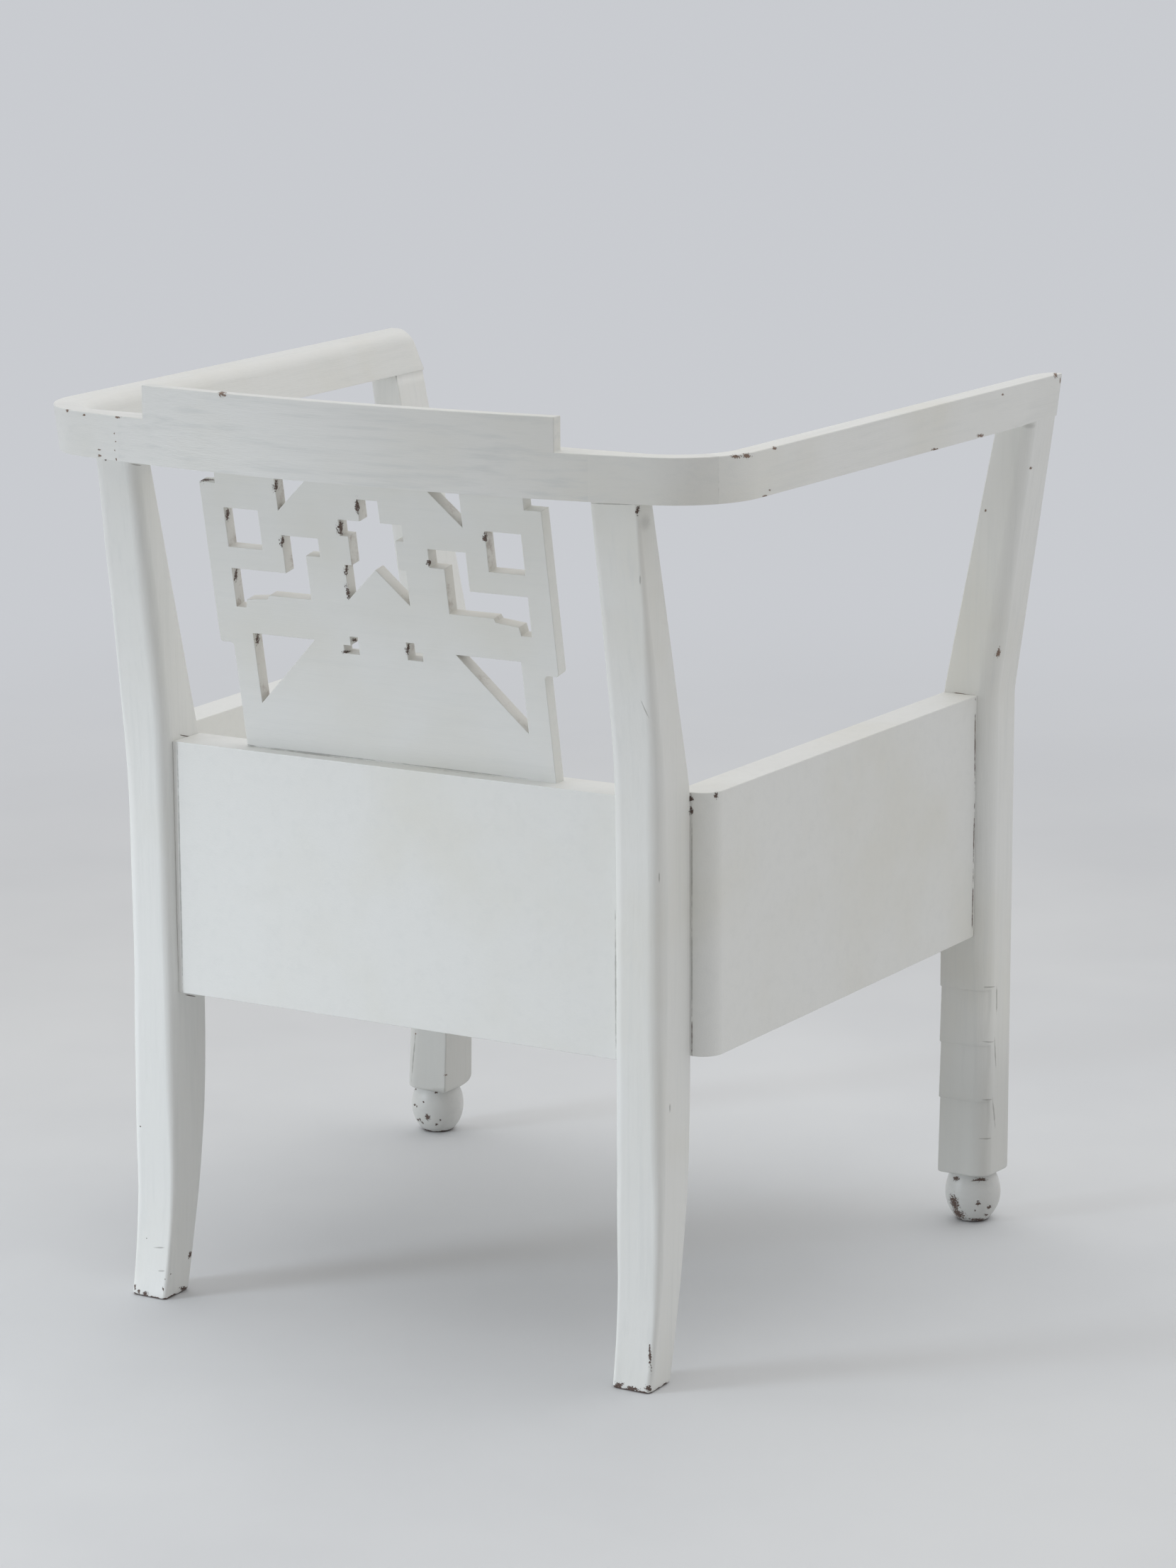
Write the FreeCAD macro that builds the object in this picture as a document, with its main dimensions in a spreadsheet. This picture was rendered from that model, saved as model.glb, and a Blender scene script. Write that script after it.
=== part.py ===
import FreeCAD, Part
import math
import os
import re
import Sketcher

V = FreeCAD.Vector

# Millimetres and degrees. The seat faces -Y, the chair's back is +Y, X = 0 is the middle, Z = 0 the floor.
SIZES = [
    ("overall_width", 649.4),
    ("overall_depth", 590),
    ("overall_height", 750),
    ("splay", 1.7),
    ("rail_under", 689),
    ("rail_thick", 35),
    ("bow_radius", 1280),
    ("corner_radius", 70),
    ("arm_width", 34),
    ("joint_angle", 35),
    ("crest_joint_out", 6),
    ("rail_slant", 9),
    ("rail_round", 14),
    ("crest_board_set", 141.7),
    ("crest_board_thick", 10),
    ("rear_leg_set", 121.7),
    ("rear_leg_width", 41.5),
    ("rear_leg_back", 233.5),
    ("rear_leg_depth", 46.5),
    ("rear_leg_top_back", 267),
    ("rear_leg_top_depth", 21.6),
    ("rear_bend_rise", 21),
    ("foot_rise", 107),
    ("foot_kick", 15.8),
    ("foot_depth", 34.5),
    ("foot_front_rise", 240),
    ("foot_taper_in", 4),
    ("foot_taper_out", 3),
    ("foot_taper_rise", 150),
    ("rear_leg_round", 12),
    ("rear_leg_round_in", 9),
    ("leg_edge_round", 3.5),
    ("leg_edge_crisp", 1.5),
    ("front_leg_set", 80.5),
    ("front_leg_width", 44),
    ("front_leg_depth", 48),
    ("front_leg_top_set", 32.7),
    ("front_leg_top_width", 28.5),
    ("front_leg_top_depth", 47.5),
    ("front_leg_round", 14),
    ("front_leg_top_round", 10),
    ("tier_step", 0.9),
    ("tier_top", 207),
    ("tier_height", 48.5),
    ("leg_foot_bevel", 4),
    ("leg_toe_bevel", 5.5),
    ("ball_radius", 23.4),
    ("ball_half_height", 28.7),
    ("ball_centre", 24.3),
    ("ball_height", 41),
    ("ball_tenon_radius", 5.5),
    ("ball_tenon_rise", 26),
    ("apron_top", 459),
    ("apron_height", 205.5),
    ("back_apron_out", 224),
    ("side_apron_set", 56.9),
    ("side_apron_thick", 31),
    ("side_apron_round", 17),
    ("front_apron_set", 10),
    ("front_apron_thick", 33),
    ("front_apron_lip", 3),
    ("seat_drop", 126),
    ("seat_thick", 15),
    ("seat_gap", 0.8),
    ("ledger_width", 20),
    ("ledger_height", 25),
    ("block_size", 32),
    ("block_height", 36),
    ("splat_lean", 10.7),
    ("splat_back", 210),
    ("splat_thick", 11.5),
    ("splat_half", 141),
    ("splat_ear", 12.3),
    ("splat_top_inset", 2.5),
    ("ear_foot", 84),
    ("ear_height", 134.5),
    ("ear_round", 3),
    ("housing", 8),
    ("tenon_thick", 10),
    ("tenon_deep", 22),
    ("tenon_shoulder", 18),
    ("top_tenon_rise", 15),
    ("spline_length", 36),
    ("spline_width", 16),
    ("spline_thick", 9),
    ("spline_cover", 8),
    ("nail_thick", 3),
    ("nail_bite", 14),
    ("fit_gap", 0.1),
]

# The fret's lines: x from the middle, s up the board from the apron's top.
FRET = [
    ("margin", 7.7),
    ("square_wide", 31.3),
    ("square_high", 32.1),
    ("square_foot", 166.7),
    ("gable_x", 82.7),
    ("gable_run", 35.7),
    ("gable_rise", 33.6),
    ("key_in", 49.5),
    ("key_arm", 13),
    ("key_top", 180.2),
    ("key_band", 14.7),
    ("key_shelf", 129.4),
    ("key_return", 101.5),
    ("key_foot", 117.5),
    ("key_toe", 9),
    ("key_gap", 31.7),
    ("key_dip", 5.2),
    ("neck_half", 9),
    ("neck_top", 215),
    ("neck_foot", 197.4),
    ("shoulder_half", 28.4),
    ("shoulder_drop", 12.9),
    ("waist_half", 21),
    ("waist_foot", 161),
    ("flare_half", 27.5),
    ("flare_foot", 133),
    ("roof_rise", 26.5),
    ("eye_in", 22),
    ("eye_bar", 7.1),
    ("eye_toe", 13.6),
    ("eye_foot", 88),
    ("eye_high", 14.2),
    ("eye_step", 6.8),
    ("eye_shift", 1.9),
    ("wedge_out", 121.2),
    ("wedge_run", 57),
    ("wedge_top", 96.4),
    ("wedge_rise", 57.9),
]

PLACES = [
    ("half_width", "overall_width / 2"),
    ("crest_board_half", "half_width - crest_board_set"),
    ("rear_leg_in", "half_width - rear_leg_set"),
    ("front_leg_in", "half_width - front_leg_set"),
    ("front_leg_top_in", "half_width - front_leg_top_set"),
    ("side_apron_mid", "half_width - side_apron_set"),
    ("front_y", "-overall_depth / 2"),
    ("splay_cos", "cos(splay)"),
    ("splay_sin", "sin(splay)"),
    ("splay_tan", "tan(splay)"),
    ("rail_top", "rail_under + rail_thick"),
    ("bow_y", "overall_depth / 2 - bow_radius"),
    ("arm_line", "half_width * splay_cos + front_y * splay_sin"),
    ("reach", "bow_radius - corner_radius"),
    ("lead", "arm_line - corner_radius - bow_y * splay_sin"),
    ("corner_x", "lead * splay_cos - splay_sin * sqrt(reach * reach - lead * lead)"),
    ("corner_y", "bow_y + lead * splay_sin + splay_cos * sqrt(reach * reach - lead * lead)"),
    ("inner_radius", "corner_radius - arm_width"),
    ("rail_inner_y", "corner_y + inner_radius"),
    ("crest_joint_x", "rear_leg_in + crest_joint_out"),
    ("crest_joint_y", "bow_y + sqrt(bow_radius * bow_radius - crest_joint_x * crest_joint_x)"),
    ("bow_end_x", "corner_x * bow_radius / reach"),
    ("bow_end_y", "bow_y + (corner_y - bow_y) * bow_radius / reach"),
    ("rear_leg_front", "rear_leg_back - rear_leg_depth"),
    ("rear_leg_out", "rear_leg_in + rear_leg_width"),
    ("foot_back_radius", "(foot_rise * foot_rise + foot_kick * foot_kick) / (2 * foot_kick)"),
    ("foot_front", "rear_leg_back + foot_kick - foot_depth"),
    ("foot_sweep", "foot_front - rear_leg_front"),
    ("foot_front_radius", "(foot_front_rise * foot_front_rise + foot_sweep * foot_sweep) / (2 * foot_sweep)"),
    ("front_leg_back", "front_y + front_leg_depth"),
    ("front_leg_out", "front_leg_in + front_leg_width"),
    ("front_leg_mid_x", "front_leg_in + front_leg_width / 2"),
    ("front_leg_mid_y", "front_y + front_leg_depth / 2"),
    ("front_leg_top_out", "front_leg_top_in + front_leg_top_width"),
    ("leg_lean", "(front_leg_top_out - front_leg_out) / (rail_under - apron_top)"),
    ("ball_low", "asin(-ball_centre / ball_half_height)"),
    ("ball_high", "asin((ball_height - ball_centre) / ball_half_height)"),
    ("apron_foot", "apron_top - apron_height"),
    ("front_apron_front", "front_y + front_apron_set"),
    ("front_apron_back", "front_apron_front + front_apron_thick"),
    ("seat_top", "apron_top - seat_drop"),
    ("front_apron_top", "seat_top + front_apron_lip"),
    ("ledger_top", "seat_top - seat_thick"),
    ("ledger_foot", "ledger_top - ledger_height"),
    ("lean_sin", "sin(splat_lean)"),
    ("lean_cos", "cos(splat_lean)"),
    ("splat_free", "(rail_under - apron_top) / lean_cos"),
    ("splat_end", "(rail_under + housing - apron_top) / lean_cos"),
    ("tenon_foot", "apron_foot + tenon_shoulder"),
    ("tenon_top", "apron_top - tenon_shoulder"),
    ("spline_z", "rail_top - spline_cover - spline_thick"),
]

ALIASES = {}
doc = FreeCAD.newDocument("deco_armchair")


def spell(text):
    """Put the sheet's name before every alias in an expression."""
    return re.sub(r"[A-Za-z_]\w*", lambda word: ALIASES.get(word.group(), word.group()), str(text))


def fill_sheet(name, rows):
    sheet = doc.addObject("Spreadsheet::Sheet", name)
    for row, (alias, content) in enumerate(rows, 1):
        formula = isinstance(content, str)
        sheet.set("A%d" % row, alias)
        sheet.set("B%d" % row, "=" + spell(content) if formula else str(content))
        sheet.setAlias("B%d" % row, alias)
        if name == "Places":
            ALIASES[alias] = alias
    ALIASES.update({alias: "%s.%s" % (name, alias) for alias, _ in rows})
    doc.recompute()
    return sheet


fill_sheet("Sizes", SIZES)
fill_sheet("Fret", FRET)
fill_sheet("Places", PLACES)


def side_out(y):
    """Outer face of a side apron, as x at the given y."""
    return "(side_apron_mid - splay_tan * (%s))" % y


def side_in(y, more="0"):
    """Inner face of a side apron, moved inwards by more."""
    return "(side_apron_mid - side_apron_thick - (%s) - splay_tan * (%s))" % (more, y)


def ring(radius, angle):
    """A point on a circle about the rail corner's centre."""
    return "corner_x + (%s) * cos(%s)" % (radius, angle), "corner_y + (%s) * sin(%s)" % (radius, angle)


def value(obj, text):
    found = obj.evalExpression(spell(text))
    return float(getattr(found, "Value", found))


def arc(start, end, radius, side):
    """Arc from start to end, its centre to the left of the way for side 1 and to the right for -1."""
    chord = end.sub(start)
    rise = math.sqrt(max(radius * radius - chord.Length * chord.Length / 4, 0))
    left = V(-chord.y, chord.x, 0).normalize()
    centre = start.add(chord.multiply(0.5)).add(left.multiply(side * rise))
    first, last = (start, end) if side > 0 else (end, start)
    angles = [math.atan2(p.y - centre.y, p.x - centre.x) for p in (first, last)]
    return Part.ArcOfCircle(Part.Circle(centre, V(0, 0, 1), radius), *angles)


def hold(sketch, kind, axis, edge, end, text, now):
    """Tie one coordinate of a corner to an expression."""
    if str(text) == "0":
        sketch.addConstraint(Sketcher.Constraint("PointOnObject", edge, end, axis))
        return
    row = sketch.addConstraint(Sketcher.Constraint(kind, -1, 1, edge, end, now))
    sketch.setExpression("Constraints[%d]" % row, spell(text))


def draw(sketch, corners):
    """Closed outline. A corner is (x, y), or (x, y, radius, side) where an arc leaves it."""
    points = [V(value(sketch, c[0]), value(sketch, c[1]), 0) for c in corners]
    ends = []
    first = sketch.GeometryCount
    for n, corner in enumerate(corners):
        start, end = points[n], points[(n + 1) % len(points)]
        if len(corner) == 4:
            radius = value(sketch, corner[2])
            edge = sketch.addGeometry(arc(start, V(end), radius, corner[3]), False)
            row = sketch.addConstraint(Sketcher.Constraint("Radius", edge, radius))
            sketch.setExpression("Constraints[%d]" % row, spell(corner[2]))
            ends.append((1, 2) if corner[3] > 0 else (2, 1))
        else:
            sketch.addGeometry(Part.LineSegment(start, end), False)
            ends.append((1, 2))
    for n, corner in enumerate(corners):
        after = (n + 1) % len(corners)
        joined = (first + n, ends[n][1], first + after, ends[after][0])
        sketch.addConstraint(Sketcher.Constraint("Coincident", *joined))
        hold(sketch, "DistanceX", -2, first + n, ends[n][0], corner[0], points[n].x)
        hold(sketch, "DistanceY", -1, first + n, ends[n][0], corner[1], points[n].y)


def add_body(label):
    body = doc.addObject("PartDesign::Body", "Body")
    body.Label = label
    return body


def add_sketch(body, plane, outlines, height="0"):
    sketch = body.newObject("Sketcher::SketchObject", "Outline")
    base = [f for f in body.Origin.OriginFeatures if f.Role == plane + "_Plane"][0]
    sketch.AttachmentSupport = [(base, "")]
    sketch.MapMode = "FlatFace"
    sketch.setExpression("AttachmentOffset.Base.z", spell(height))
    for outline in outlines:
        draw(sketch, outline)
    sketch.Visibility = False
    return sketch


def add_pad(body, sketch, length, symmetric=False):
    pad = body.newObject("PartDesign::Pad", "Pad")
    pad.Profile = sketch
    pad.setExpression("Length", spell(length))
    if symmetric:
        pad.SideType = "Symmetric"
    doc.recompute()
    return pad


def add_pocket(body, sketch, length=None, reverse=False):
    """Cut the sketch through everything, or half of length to each side of its plane."""
    pocket = body.newObject("PartDesign::Pocket", "Pocket")
    pocket.Profile = sketch
    pocket.Reversed = reverse
    if length is None:
        pocket.Type = "ThroughAll"
    else:
        pocket.SideType = "Symmetric"
        pocket.setExpression("Length", spell(length))
    doc.recompute()
    return pocket


def add_fillet(body, base, chosen, radius):
    edges = ["Edge%d" % n for n, edge in enumerate(base.Shape.Edges, 1) if chosen(edge)]
    fillet = body.newObject("PartDesign::Fillet", "Round")
    fillet.Base = (base, edges)
    fillet.setExpression("Radius", spell(radius))
    doc.recompute()
    return fillet


def middle(edge):
    return edge.valueAt((edge.FirstParameter + edge.LastParameter) / 2)


def near(a, b, slack=0.05):
    return abs(a - b) < slack


def number(alias):
    sheet, name = ALIASES[alias].split(".")
    return float(doc.getObject(sheet).get(name))


def board(label, outline, foot, height):
    """A piece sawn from one board: a plan outline and its height."""
    body = add_body(label)
    add_pad(body, add_sketch(body, "XY", [outline], foot), height)
    return body


def mirrored(source, label):
    other = doc.addObject("Part::Mirroring", "Mirrored")
    other.Label = label
    other.Source = source
    other.Normal = (1, 0, 0)
    return other


def grouped(members, label):
    group = doc.addObject("Part::Compound", "Group")
    group.Label = label
    group.Links = members
    return group


def drilled(body, tools, label):
    body.Label = label + " blank"
    piece = doc.addObject("Part::Cut", "Drilled")
    piece.Label = label
    piece.Base = body
    piece.Tool = tools if not isinstance(tools, list) else grouped(tools, label + " holes")
    return piece


def place(obj, at, yaw="0", pitch="0"):
    """Put an object's own Z axis along the direction that pitch and then yaw give."""
    spot = "create(<<vector>>; %s; %s; %s)" % at
    turn = "create(<<rotation>>; %s; %s; 0)" % (yaw, pitch)
    obj.setExpression("Placement", spell("create(<<placement>>; %s; %s)" % (spot, turn)))
    return obj


def block(low, high, grow="0"):
    """A box from its low to its high corner, made larger all round by grow."""
    made = doc.addObject("Part::Box", "Block")
    for side, near_end, far_end in zip(("Length", "Width", "Height"), low, high):
        made.setExpression(side, spell("(%s) - (%s) + 2 * %s" % (far_end, near_end, grow)))
    return place(made, tuple("(%s) - %s" % (corner, grow) for corner in low))


def tenon_and_mortise(low, high):
    return block(low, high), block(low, high, "fit_gap")


def spline_and_slot(x, y, yaw):
    """A loose tenon laid across a rail joint at x, y, along the direction yaw, and its slot."""
    made = []
    for grow in ("0", "fit_gap"):
        half_long, half_wide = "(spline_length / 2 + %s)" % grow, "(spline_width / 2 + %s)" % grow
        start = (
            "%s - cos(%s) * %s + sin(%s) * %s" % (x, yaw, half_long, yaw, half_wide),
            "%s - sin(%s) * %s - cos(%s) * %s" % (y, yaw, half_long, yaw, half_wide),
            "spline_z - " + grow,
        )
        bar = doc.addObject("Part::Box", "Spline")
        bar.setExpression("Length", spell("2 * " + half_long))
        bar.setExpression("Width", spell("2 * " + half_wide))
        bar.setExpression("Height", spell("spline_thick + 2 * " + grow))
        made.append(place(bar, start, yaw))
    return made


def bar_and_hole(sides, half_thick, length, at, yaw="0", pitch="0"):
    """A straight bar with flat sides that starts at the point at, and the hole that it fits."""
    made = []
    for grow in ("0", "fit_gap"):
        bar = doc.addObject("Part::Prism", "Bar")
        bar.Polygon = sides
        bar.setExpression("Circumradius", spell("(%s + %s) / cos(180 / %d)" % (half_thick, grow, sides)))
        bar.setExpression("Height", spell("%s + %s" % (length, grow)))
        made.append(place(bar, at, yaw, pitch))
    return made


def nail_and_hole(at, yaw):
    """A square headless nail driven level through a ledger from the point at, and its hole."""
    return bar_and_hole(4, "nail_thick / 2", "ledger_width + nail_bite", at, yaw, "90")


def family(label, pairs):
    """Both sides' fasteners of one kind, and the holes of the left side and of both."""
    left = grouped([fastener for fastener, _ in pairs], label + " left side")
    holes = grouped([hole for _, hole in pairs], label + " left holes")
    both = grouped([left, mirrored(left, label + " right side")], label)
    all_holes = grouped([holes, mirrored(holes, label + " right holes")], label + " holes")
    return both, holes, all_holes


def tenoned(body, tenons):
    body.Label += " plain"
    piece = doc.addObject("Part::MultiFuse", "Tenoned")
    piece.Shapes = [body] + tenons
    return piece


# Joints inside the wood
rail_splines, spline_slots, spline_slots_both = family("rail_splines", [
    spline_and_slot("crest_joint_x", "crest_joint_y - arm_width / 2", "0"),
    spline_and_slot(*ring("corner_radius - arm_width / 2", "joint_angle"), "(joint_angle - 90)"),
])

rear_top_tenon, rear_top_mortise = tenon_and_mortise(
    ("crest_joint_x + 4", "rear_leg_top_back - rear_leg_top_depth + 5", "rail_under - 2"),
    ("rear_leg_out - 7", "rear_leg_top_back - 5", "rail_under + top_tenon_rise"))
front_top_tenon, front_top_mortise = tenon_and_mortise(
    ("front_leg_top_in + 7", "front_y + 9", "rail_under - 2"),
    ("front_leg_top_out - 8", "front_y + front_leg_top_depth - 12", "rail_under + top_tenon_rise"))
BACK_TENON_Y = "(rear_leg_front + back_apron_out) / 2"
back_tenon, back_mortise = tenon_and_mortise(
    ("rear_leg_in - 2", BACK_TENON_Y + " - tenon_thick / 2", "tenon_foot"),
    ("rear_leg_in + tenon_deep", BACK_TENON_Y + " + tenon_thick / 2", "tenon_top"))
side_rear_tenon, side_rear_mortise = tenon_and_mortise(
    ("rear_leg_out - 3 - tenon_thick * 0.7", "rear_leg_front - 2", "tenon_foot"),
    ("rear_leg_out - 3", "rear_leg_front + tenon_deep - 4", "tenon_top"))
side_front_tenon, side_front_mortise = tenon_and_mortise(
    ("front_leg_in + 10", "front_leg_back - tenon_deep + 2", "tenon_foot"),
    ("front_leg_in + 10 + tenon_thick", "front_leg_back + 2", "tenon_top"))
front_tenon, front_mortise = tenon_and_mortise(
    ("front_leg_in - 2", "front_apron_front + 2", "tenon_foot"),
    ("front_leg_in + tenon_deep", "front_apron_front + 2 + tenon_thick", "front_apron_top - tenon_shoulder"))

LEDGER_Z = "ledger_foot + ledger_height / 2"
BACK_LEDGER_Y = "rear_leg_front - ledger_width"
FRONT_LEDGER_Y = "front_apron_back + ledger_width"
ledger_nails, nail_holes, nail_holes_both = family("ledger_nails", [
    nail_and_hole(at, yaw)
    for at, yaw in (
        (("rear_leg_in * 0.75", BACK_LEDGER_Y, LEDGER_Z), "90"),
        (("rear_leg_in * 0.75", FRONT_LEDGER_Y, LEDGER_Z), "-90"),
        ((side_in("overall_depth / 6", "ledger_width"), "overall_depth / 6", LEDGER_Z), "splay"),
        ((side_in("-overall_depth / 4", "ledger_width"), "-overall_depth / 4", LEDGER_Z), "splay"),
    )
])


def slot_profile(foot, top):
    """The leaning board's section between two heights up its back face, in the YZ plane."""
    corners = []
    for s, depth in ((foot, "0"), (top, "0"), (top, "splat_thick"), (foot, "splat_thick")):
        corners.append((
            "splat_back + (%s) * lean_sin - %s * lean_cos" % (s, depth),
            "apron_top + (%s) * lean_cos + %s * lean_sin" % (s, depth),
        ))
    return corners


def soften_rail(body, base):
    """Slant the inner side of a rail piece and round its inner top edge."""
    def inner_top(edge):
        spot = middle(edge)
        radial = math.hypot(spot.x - number("corner_x"), spot.y - number("corner_y"))
        on_arc = near(radial, number("inner_radius"), 0.3)
        on_back = near(spot.y, number("rail_inner_y"))
        line = abs(spot.x) * number("splay_cos") + spot.y * number("splay_sin")
        on_arm = near(line, number("arm_line") - number("arm_width"))
        return near(spot.z, number("rail_top")) and (on_arc or on_back or on_arm)

    slant = body.newObject("PartDesign::Chamfer", "Slant")
    slant.Base = (base, ["Edge%d" % n for n, edge in enumerate(base.Shape.Edges, 1) if inner_top(edge)])
    slant.ChamferType = "Two distances"
    slant.setExpression("Size", spell("rail_thick - 1"))
    slant.setExpression("Size2", spell("rail_slant"))
    doc.recompute()
    top_faces = [f for f in slant.Shape.Faces if near(f.BoundBox.ZMin, number("rail_top"))]
    sharp = []
    for face in top_faces:
        for edge in face.Edges:
            spot = middle(edge)
            gap = min(p.distToShape(Part.Vertex(spot))[0] for p in [e for e in base.Shape.Edges if inner_top(e)])
            if near(gap, number("rail_slant"), 0.4):
                sharp.append(edge)

    def slanted_top(edge):
        return any(edge.isSame(other) for other in sharp)

    return add_fillet(body, slant, slanted_top, "rail_round")


# Crest rail, round rail corners and arms
crest = add_body("crest_rail")
crest_pad = add_pad(crest, add_sketch(crest, "XY", [[
    ("-crest_joint_x", "rail_inner_y"),
    ("crest_joint_x", "rail_inner_y"),
    ("crest_joint_x", "crest_joint_y", "bow_radius", 1),
    ("-crest_joint_x", "crest_joint_y"),
]], "rail_under"), "rail_thick")
soften_rail(crest, crest_pad)
BOARD_X = "crest_board_half"
OUTER_ARC_Y = "bow_y + sqrt(bow_radius * bow_radius - crest_board_half * crest_board_half)"
INNER_ARC = "(bow_radius - crest_board_thick)"
INNER_ARC_Y = "bow_y + sqrt(%s * %s - crest_board_half * crest_board_half)" % (INNER_ARC, INNER_ARC)
add_pad(crest, add_sketch(crest, "XY", [[
    ("-" + BOARD_X, INNER_ARC_Y, INNER_ARC, -1),
    (BOARD_X, INNER_ARC_Y),
    (BOARD_X, OUTER_ARC_Y, "bow_radius", 1),
    ("-" + BOARD_X, OUTER_ARC_Y),
]], "rail_top"), "overall_height - rail_top")
add_pocket(crest, add_sketch(crest, "YZ", [slot_profile("splat_free - 20", "splat_end")]),
           "2 * (splat_half - splat_top_inset)")
crest_rail = drilled(crest, spline_slots_both, "crest_rail")

OUT_END = ring("corner_radius", "joint_angle")
IN_END = ring("inner_radius", "joint_angle")
corner = add_body("rail_corner_left")
corner_pad = add_pad(corner, add_sketch(corner, "XY", [[
    ("crest_joint_x", "rail_inner_y"),
    ("corner_x", "rail_inner_y", "inner_radius", -1),
    IN_END,
    OUT_END + ("corner_radius", 1),
    ("bow_end_x", "bow_end_y", "bow_radius", 1),
    ("crest_joint_x", "crest_joint_y"),
]], "rail_under"), "rail_thick")
soften_rail(corner, corner_pad)
rail_corner_left = drilled(corner, [spline_slots, rear_top_mortise], "rail_corner_left")

arm = add_body("arm_left")
arm_pad = add_pad(arm, add_sketch(arm, "XY", [[
    ("half_width - arm_width / splay_cos", "front_y"),
    ("half_width", "front_y"),
    ring("corner_radius", "splay") + ("corner_radius", 1),
    OUT_END,
    IN_END + ("inner_radius", -1),
    ring("inner_radius", "splay"),
]], "rail_under"), "rail_thick")
soften_rail(arm, arm_pad)
# The end of the arm is dressed flush with the leaning outer face of its leg.
add_pocket(arm, add_sketch(arm, "XZ", [[
    ("front_leg_top_out - leg_lean", "rail_under - 1"),
    ("front_leg_top_out + leg_lean * rail_thick", "rail_top"),
    ("half_width + 5", "rail_top"),
    ("half_width + 5", "rail_under - 1"),
]], "-front_leg_back"), reverse=True)
arm_left = drilled(arm, [spline_slots, front_top_mortise], "arm_left")

# Legs and ball feet
rear = add_body("rear_leg_left")
rear_pad = add_pad(rear, add_sketch(rear, "YZ", [[
    ("foot_front", "0"),
    ("rear_leg_back + foot_kick", "0", "foot_back_radius", -1),
    ("rear_leg_back", "foot_rise"),
    ("rear_leg_back", "apron_top + rear_bend_rise"),
    ("rear_leg_top_back", "rail_under"),
    ("rear_leg_top_back - rear_leg_top_depth", "rail_under"),
    ("rear_leg_front", "apron_top"),
    ("rear_leg_front", "foot_front_rise", "foot_front_radius", 1),
]], "rear_leg_in"), "rear_leg_width")


def back_edge(side):
    """Picks the long edges at the back of the leg, on the side that lies at the given x."""
    def chosen(edge):
        spot = middle(edge)
        share = max(spot.z / number("rail_under") - 0.6, 0)
        halfway = number("rear_leg_front") + number("rear_leg_depth") * (0.5 + share * 0.6)
        return near(spot.x, number(side)) and edge.BoundBox.ZLength > 15 and spot.y > halfway

    return chosen


rear_round = add_fillet(rear, rear_pad, back_edge("rear_leg_out"), "rear_leg_round")
add_fillet(rear, rear_round, back_edge("rear_leg_in"), "rear_leg_round_in")
add_pocket(rear, add_sketch(rear, "XZ", [
    [("rear_leg_in - 5", "-5"), ("rear_leg_in + foot_taper_in * (1 + 5 / foot_taper_rise)", "-5"),
     ("rear_leg_in", "foot_taper_rise"), ("rear_leg_in - 5", "foot_taper_rise")],
    [("rear_leg_out - foot_taper_out * (1 + 5 / foot_taper_rise)", "-5"), ("rear_leg_out + 5", "-5"),
     ("rear_leg_out + 5", "foot_taper_rise"), ("rear_leg_out", "foot_taper_rise")],
]))
rear_leg_left = drilled(tenoned(rear, [rear_top_tenon]), [back_mortise, side_rear_mortise], "rear_leg_left")


def leg_section(body, z, x0, x1, y1, inset, big, toe="0"):
    """Section of a front leg at height z: the outer back corner has the big rounding."""
    x0, x1 = "(%s + %s)" % (x0, inset), "(%s - %s)" % (x1, inset)
    y0, y1 = "(front_y + %s + %s)" % (inset, toe), "(%s - %s)" % (y1, inset)
    small, crisp = "leg_edge_round", "leg_edge_crisp"
    outline = [
        (x0 + " + " + small, y0),
        (x1 + " - " + small, y0, small, 1),
        (x1, y0 + " + " + small),
        (x1, y1 + " - " + big, big, 1),
        (x1 + " - " + big, y1),
        (x0 + " + " + crisp, y1),
        (x0, y1 + " - " + crisp),
        (x0, y0 + " + " + small, small, 1),
    ]
    return add_sketch(body, "XY", [outline], z)


front = add_body("front_leg_left")
TOP_BACK = "front_y + front_leg_top_depth"
sections = [leg_section(front, "rail_under", "front_leg_top_in", "front_leg_top_out", TOP_BACK, "0",
                        "front_leg_top_round")]
levels = [("apron_top", "0", "0")]
for tier in range(3):
    ledge = "tier_top - tier_height * %d" % tier
    levels += [(ledge + " + 0.3", "0", "0"), (ledge + " - 0.3", "tier_step", "0")]
levels += [("ball_height + 3 * leg_foot_bevel", "tier_step / 2", "0"),
           ("ball_height + leg_foot_bevel", "tier_step / 2", "leg_toe_bevel / 2"),
           ("ball_height", "leg_foot_bevel", "leg_toe_bevel")]
for height, inset, toe in levels:
    sections.append(leg_section(front, height, "front_leg_in", "front_leg_out", "front_leg_back",
                                inset, "front_leg_round", toe))
leg_loft = front.newObject("PartDesign::AdditiveLoft", "Loft")
leg_loft.Profile = sections[0]
leg_loft.Sections = sections[1:]
leg_loft.Ruled = True
doc.recompute()

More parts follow.
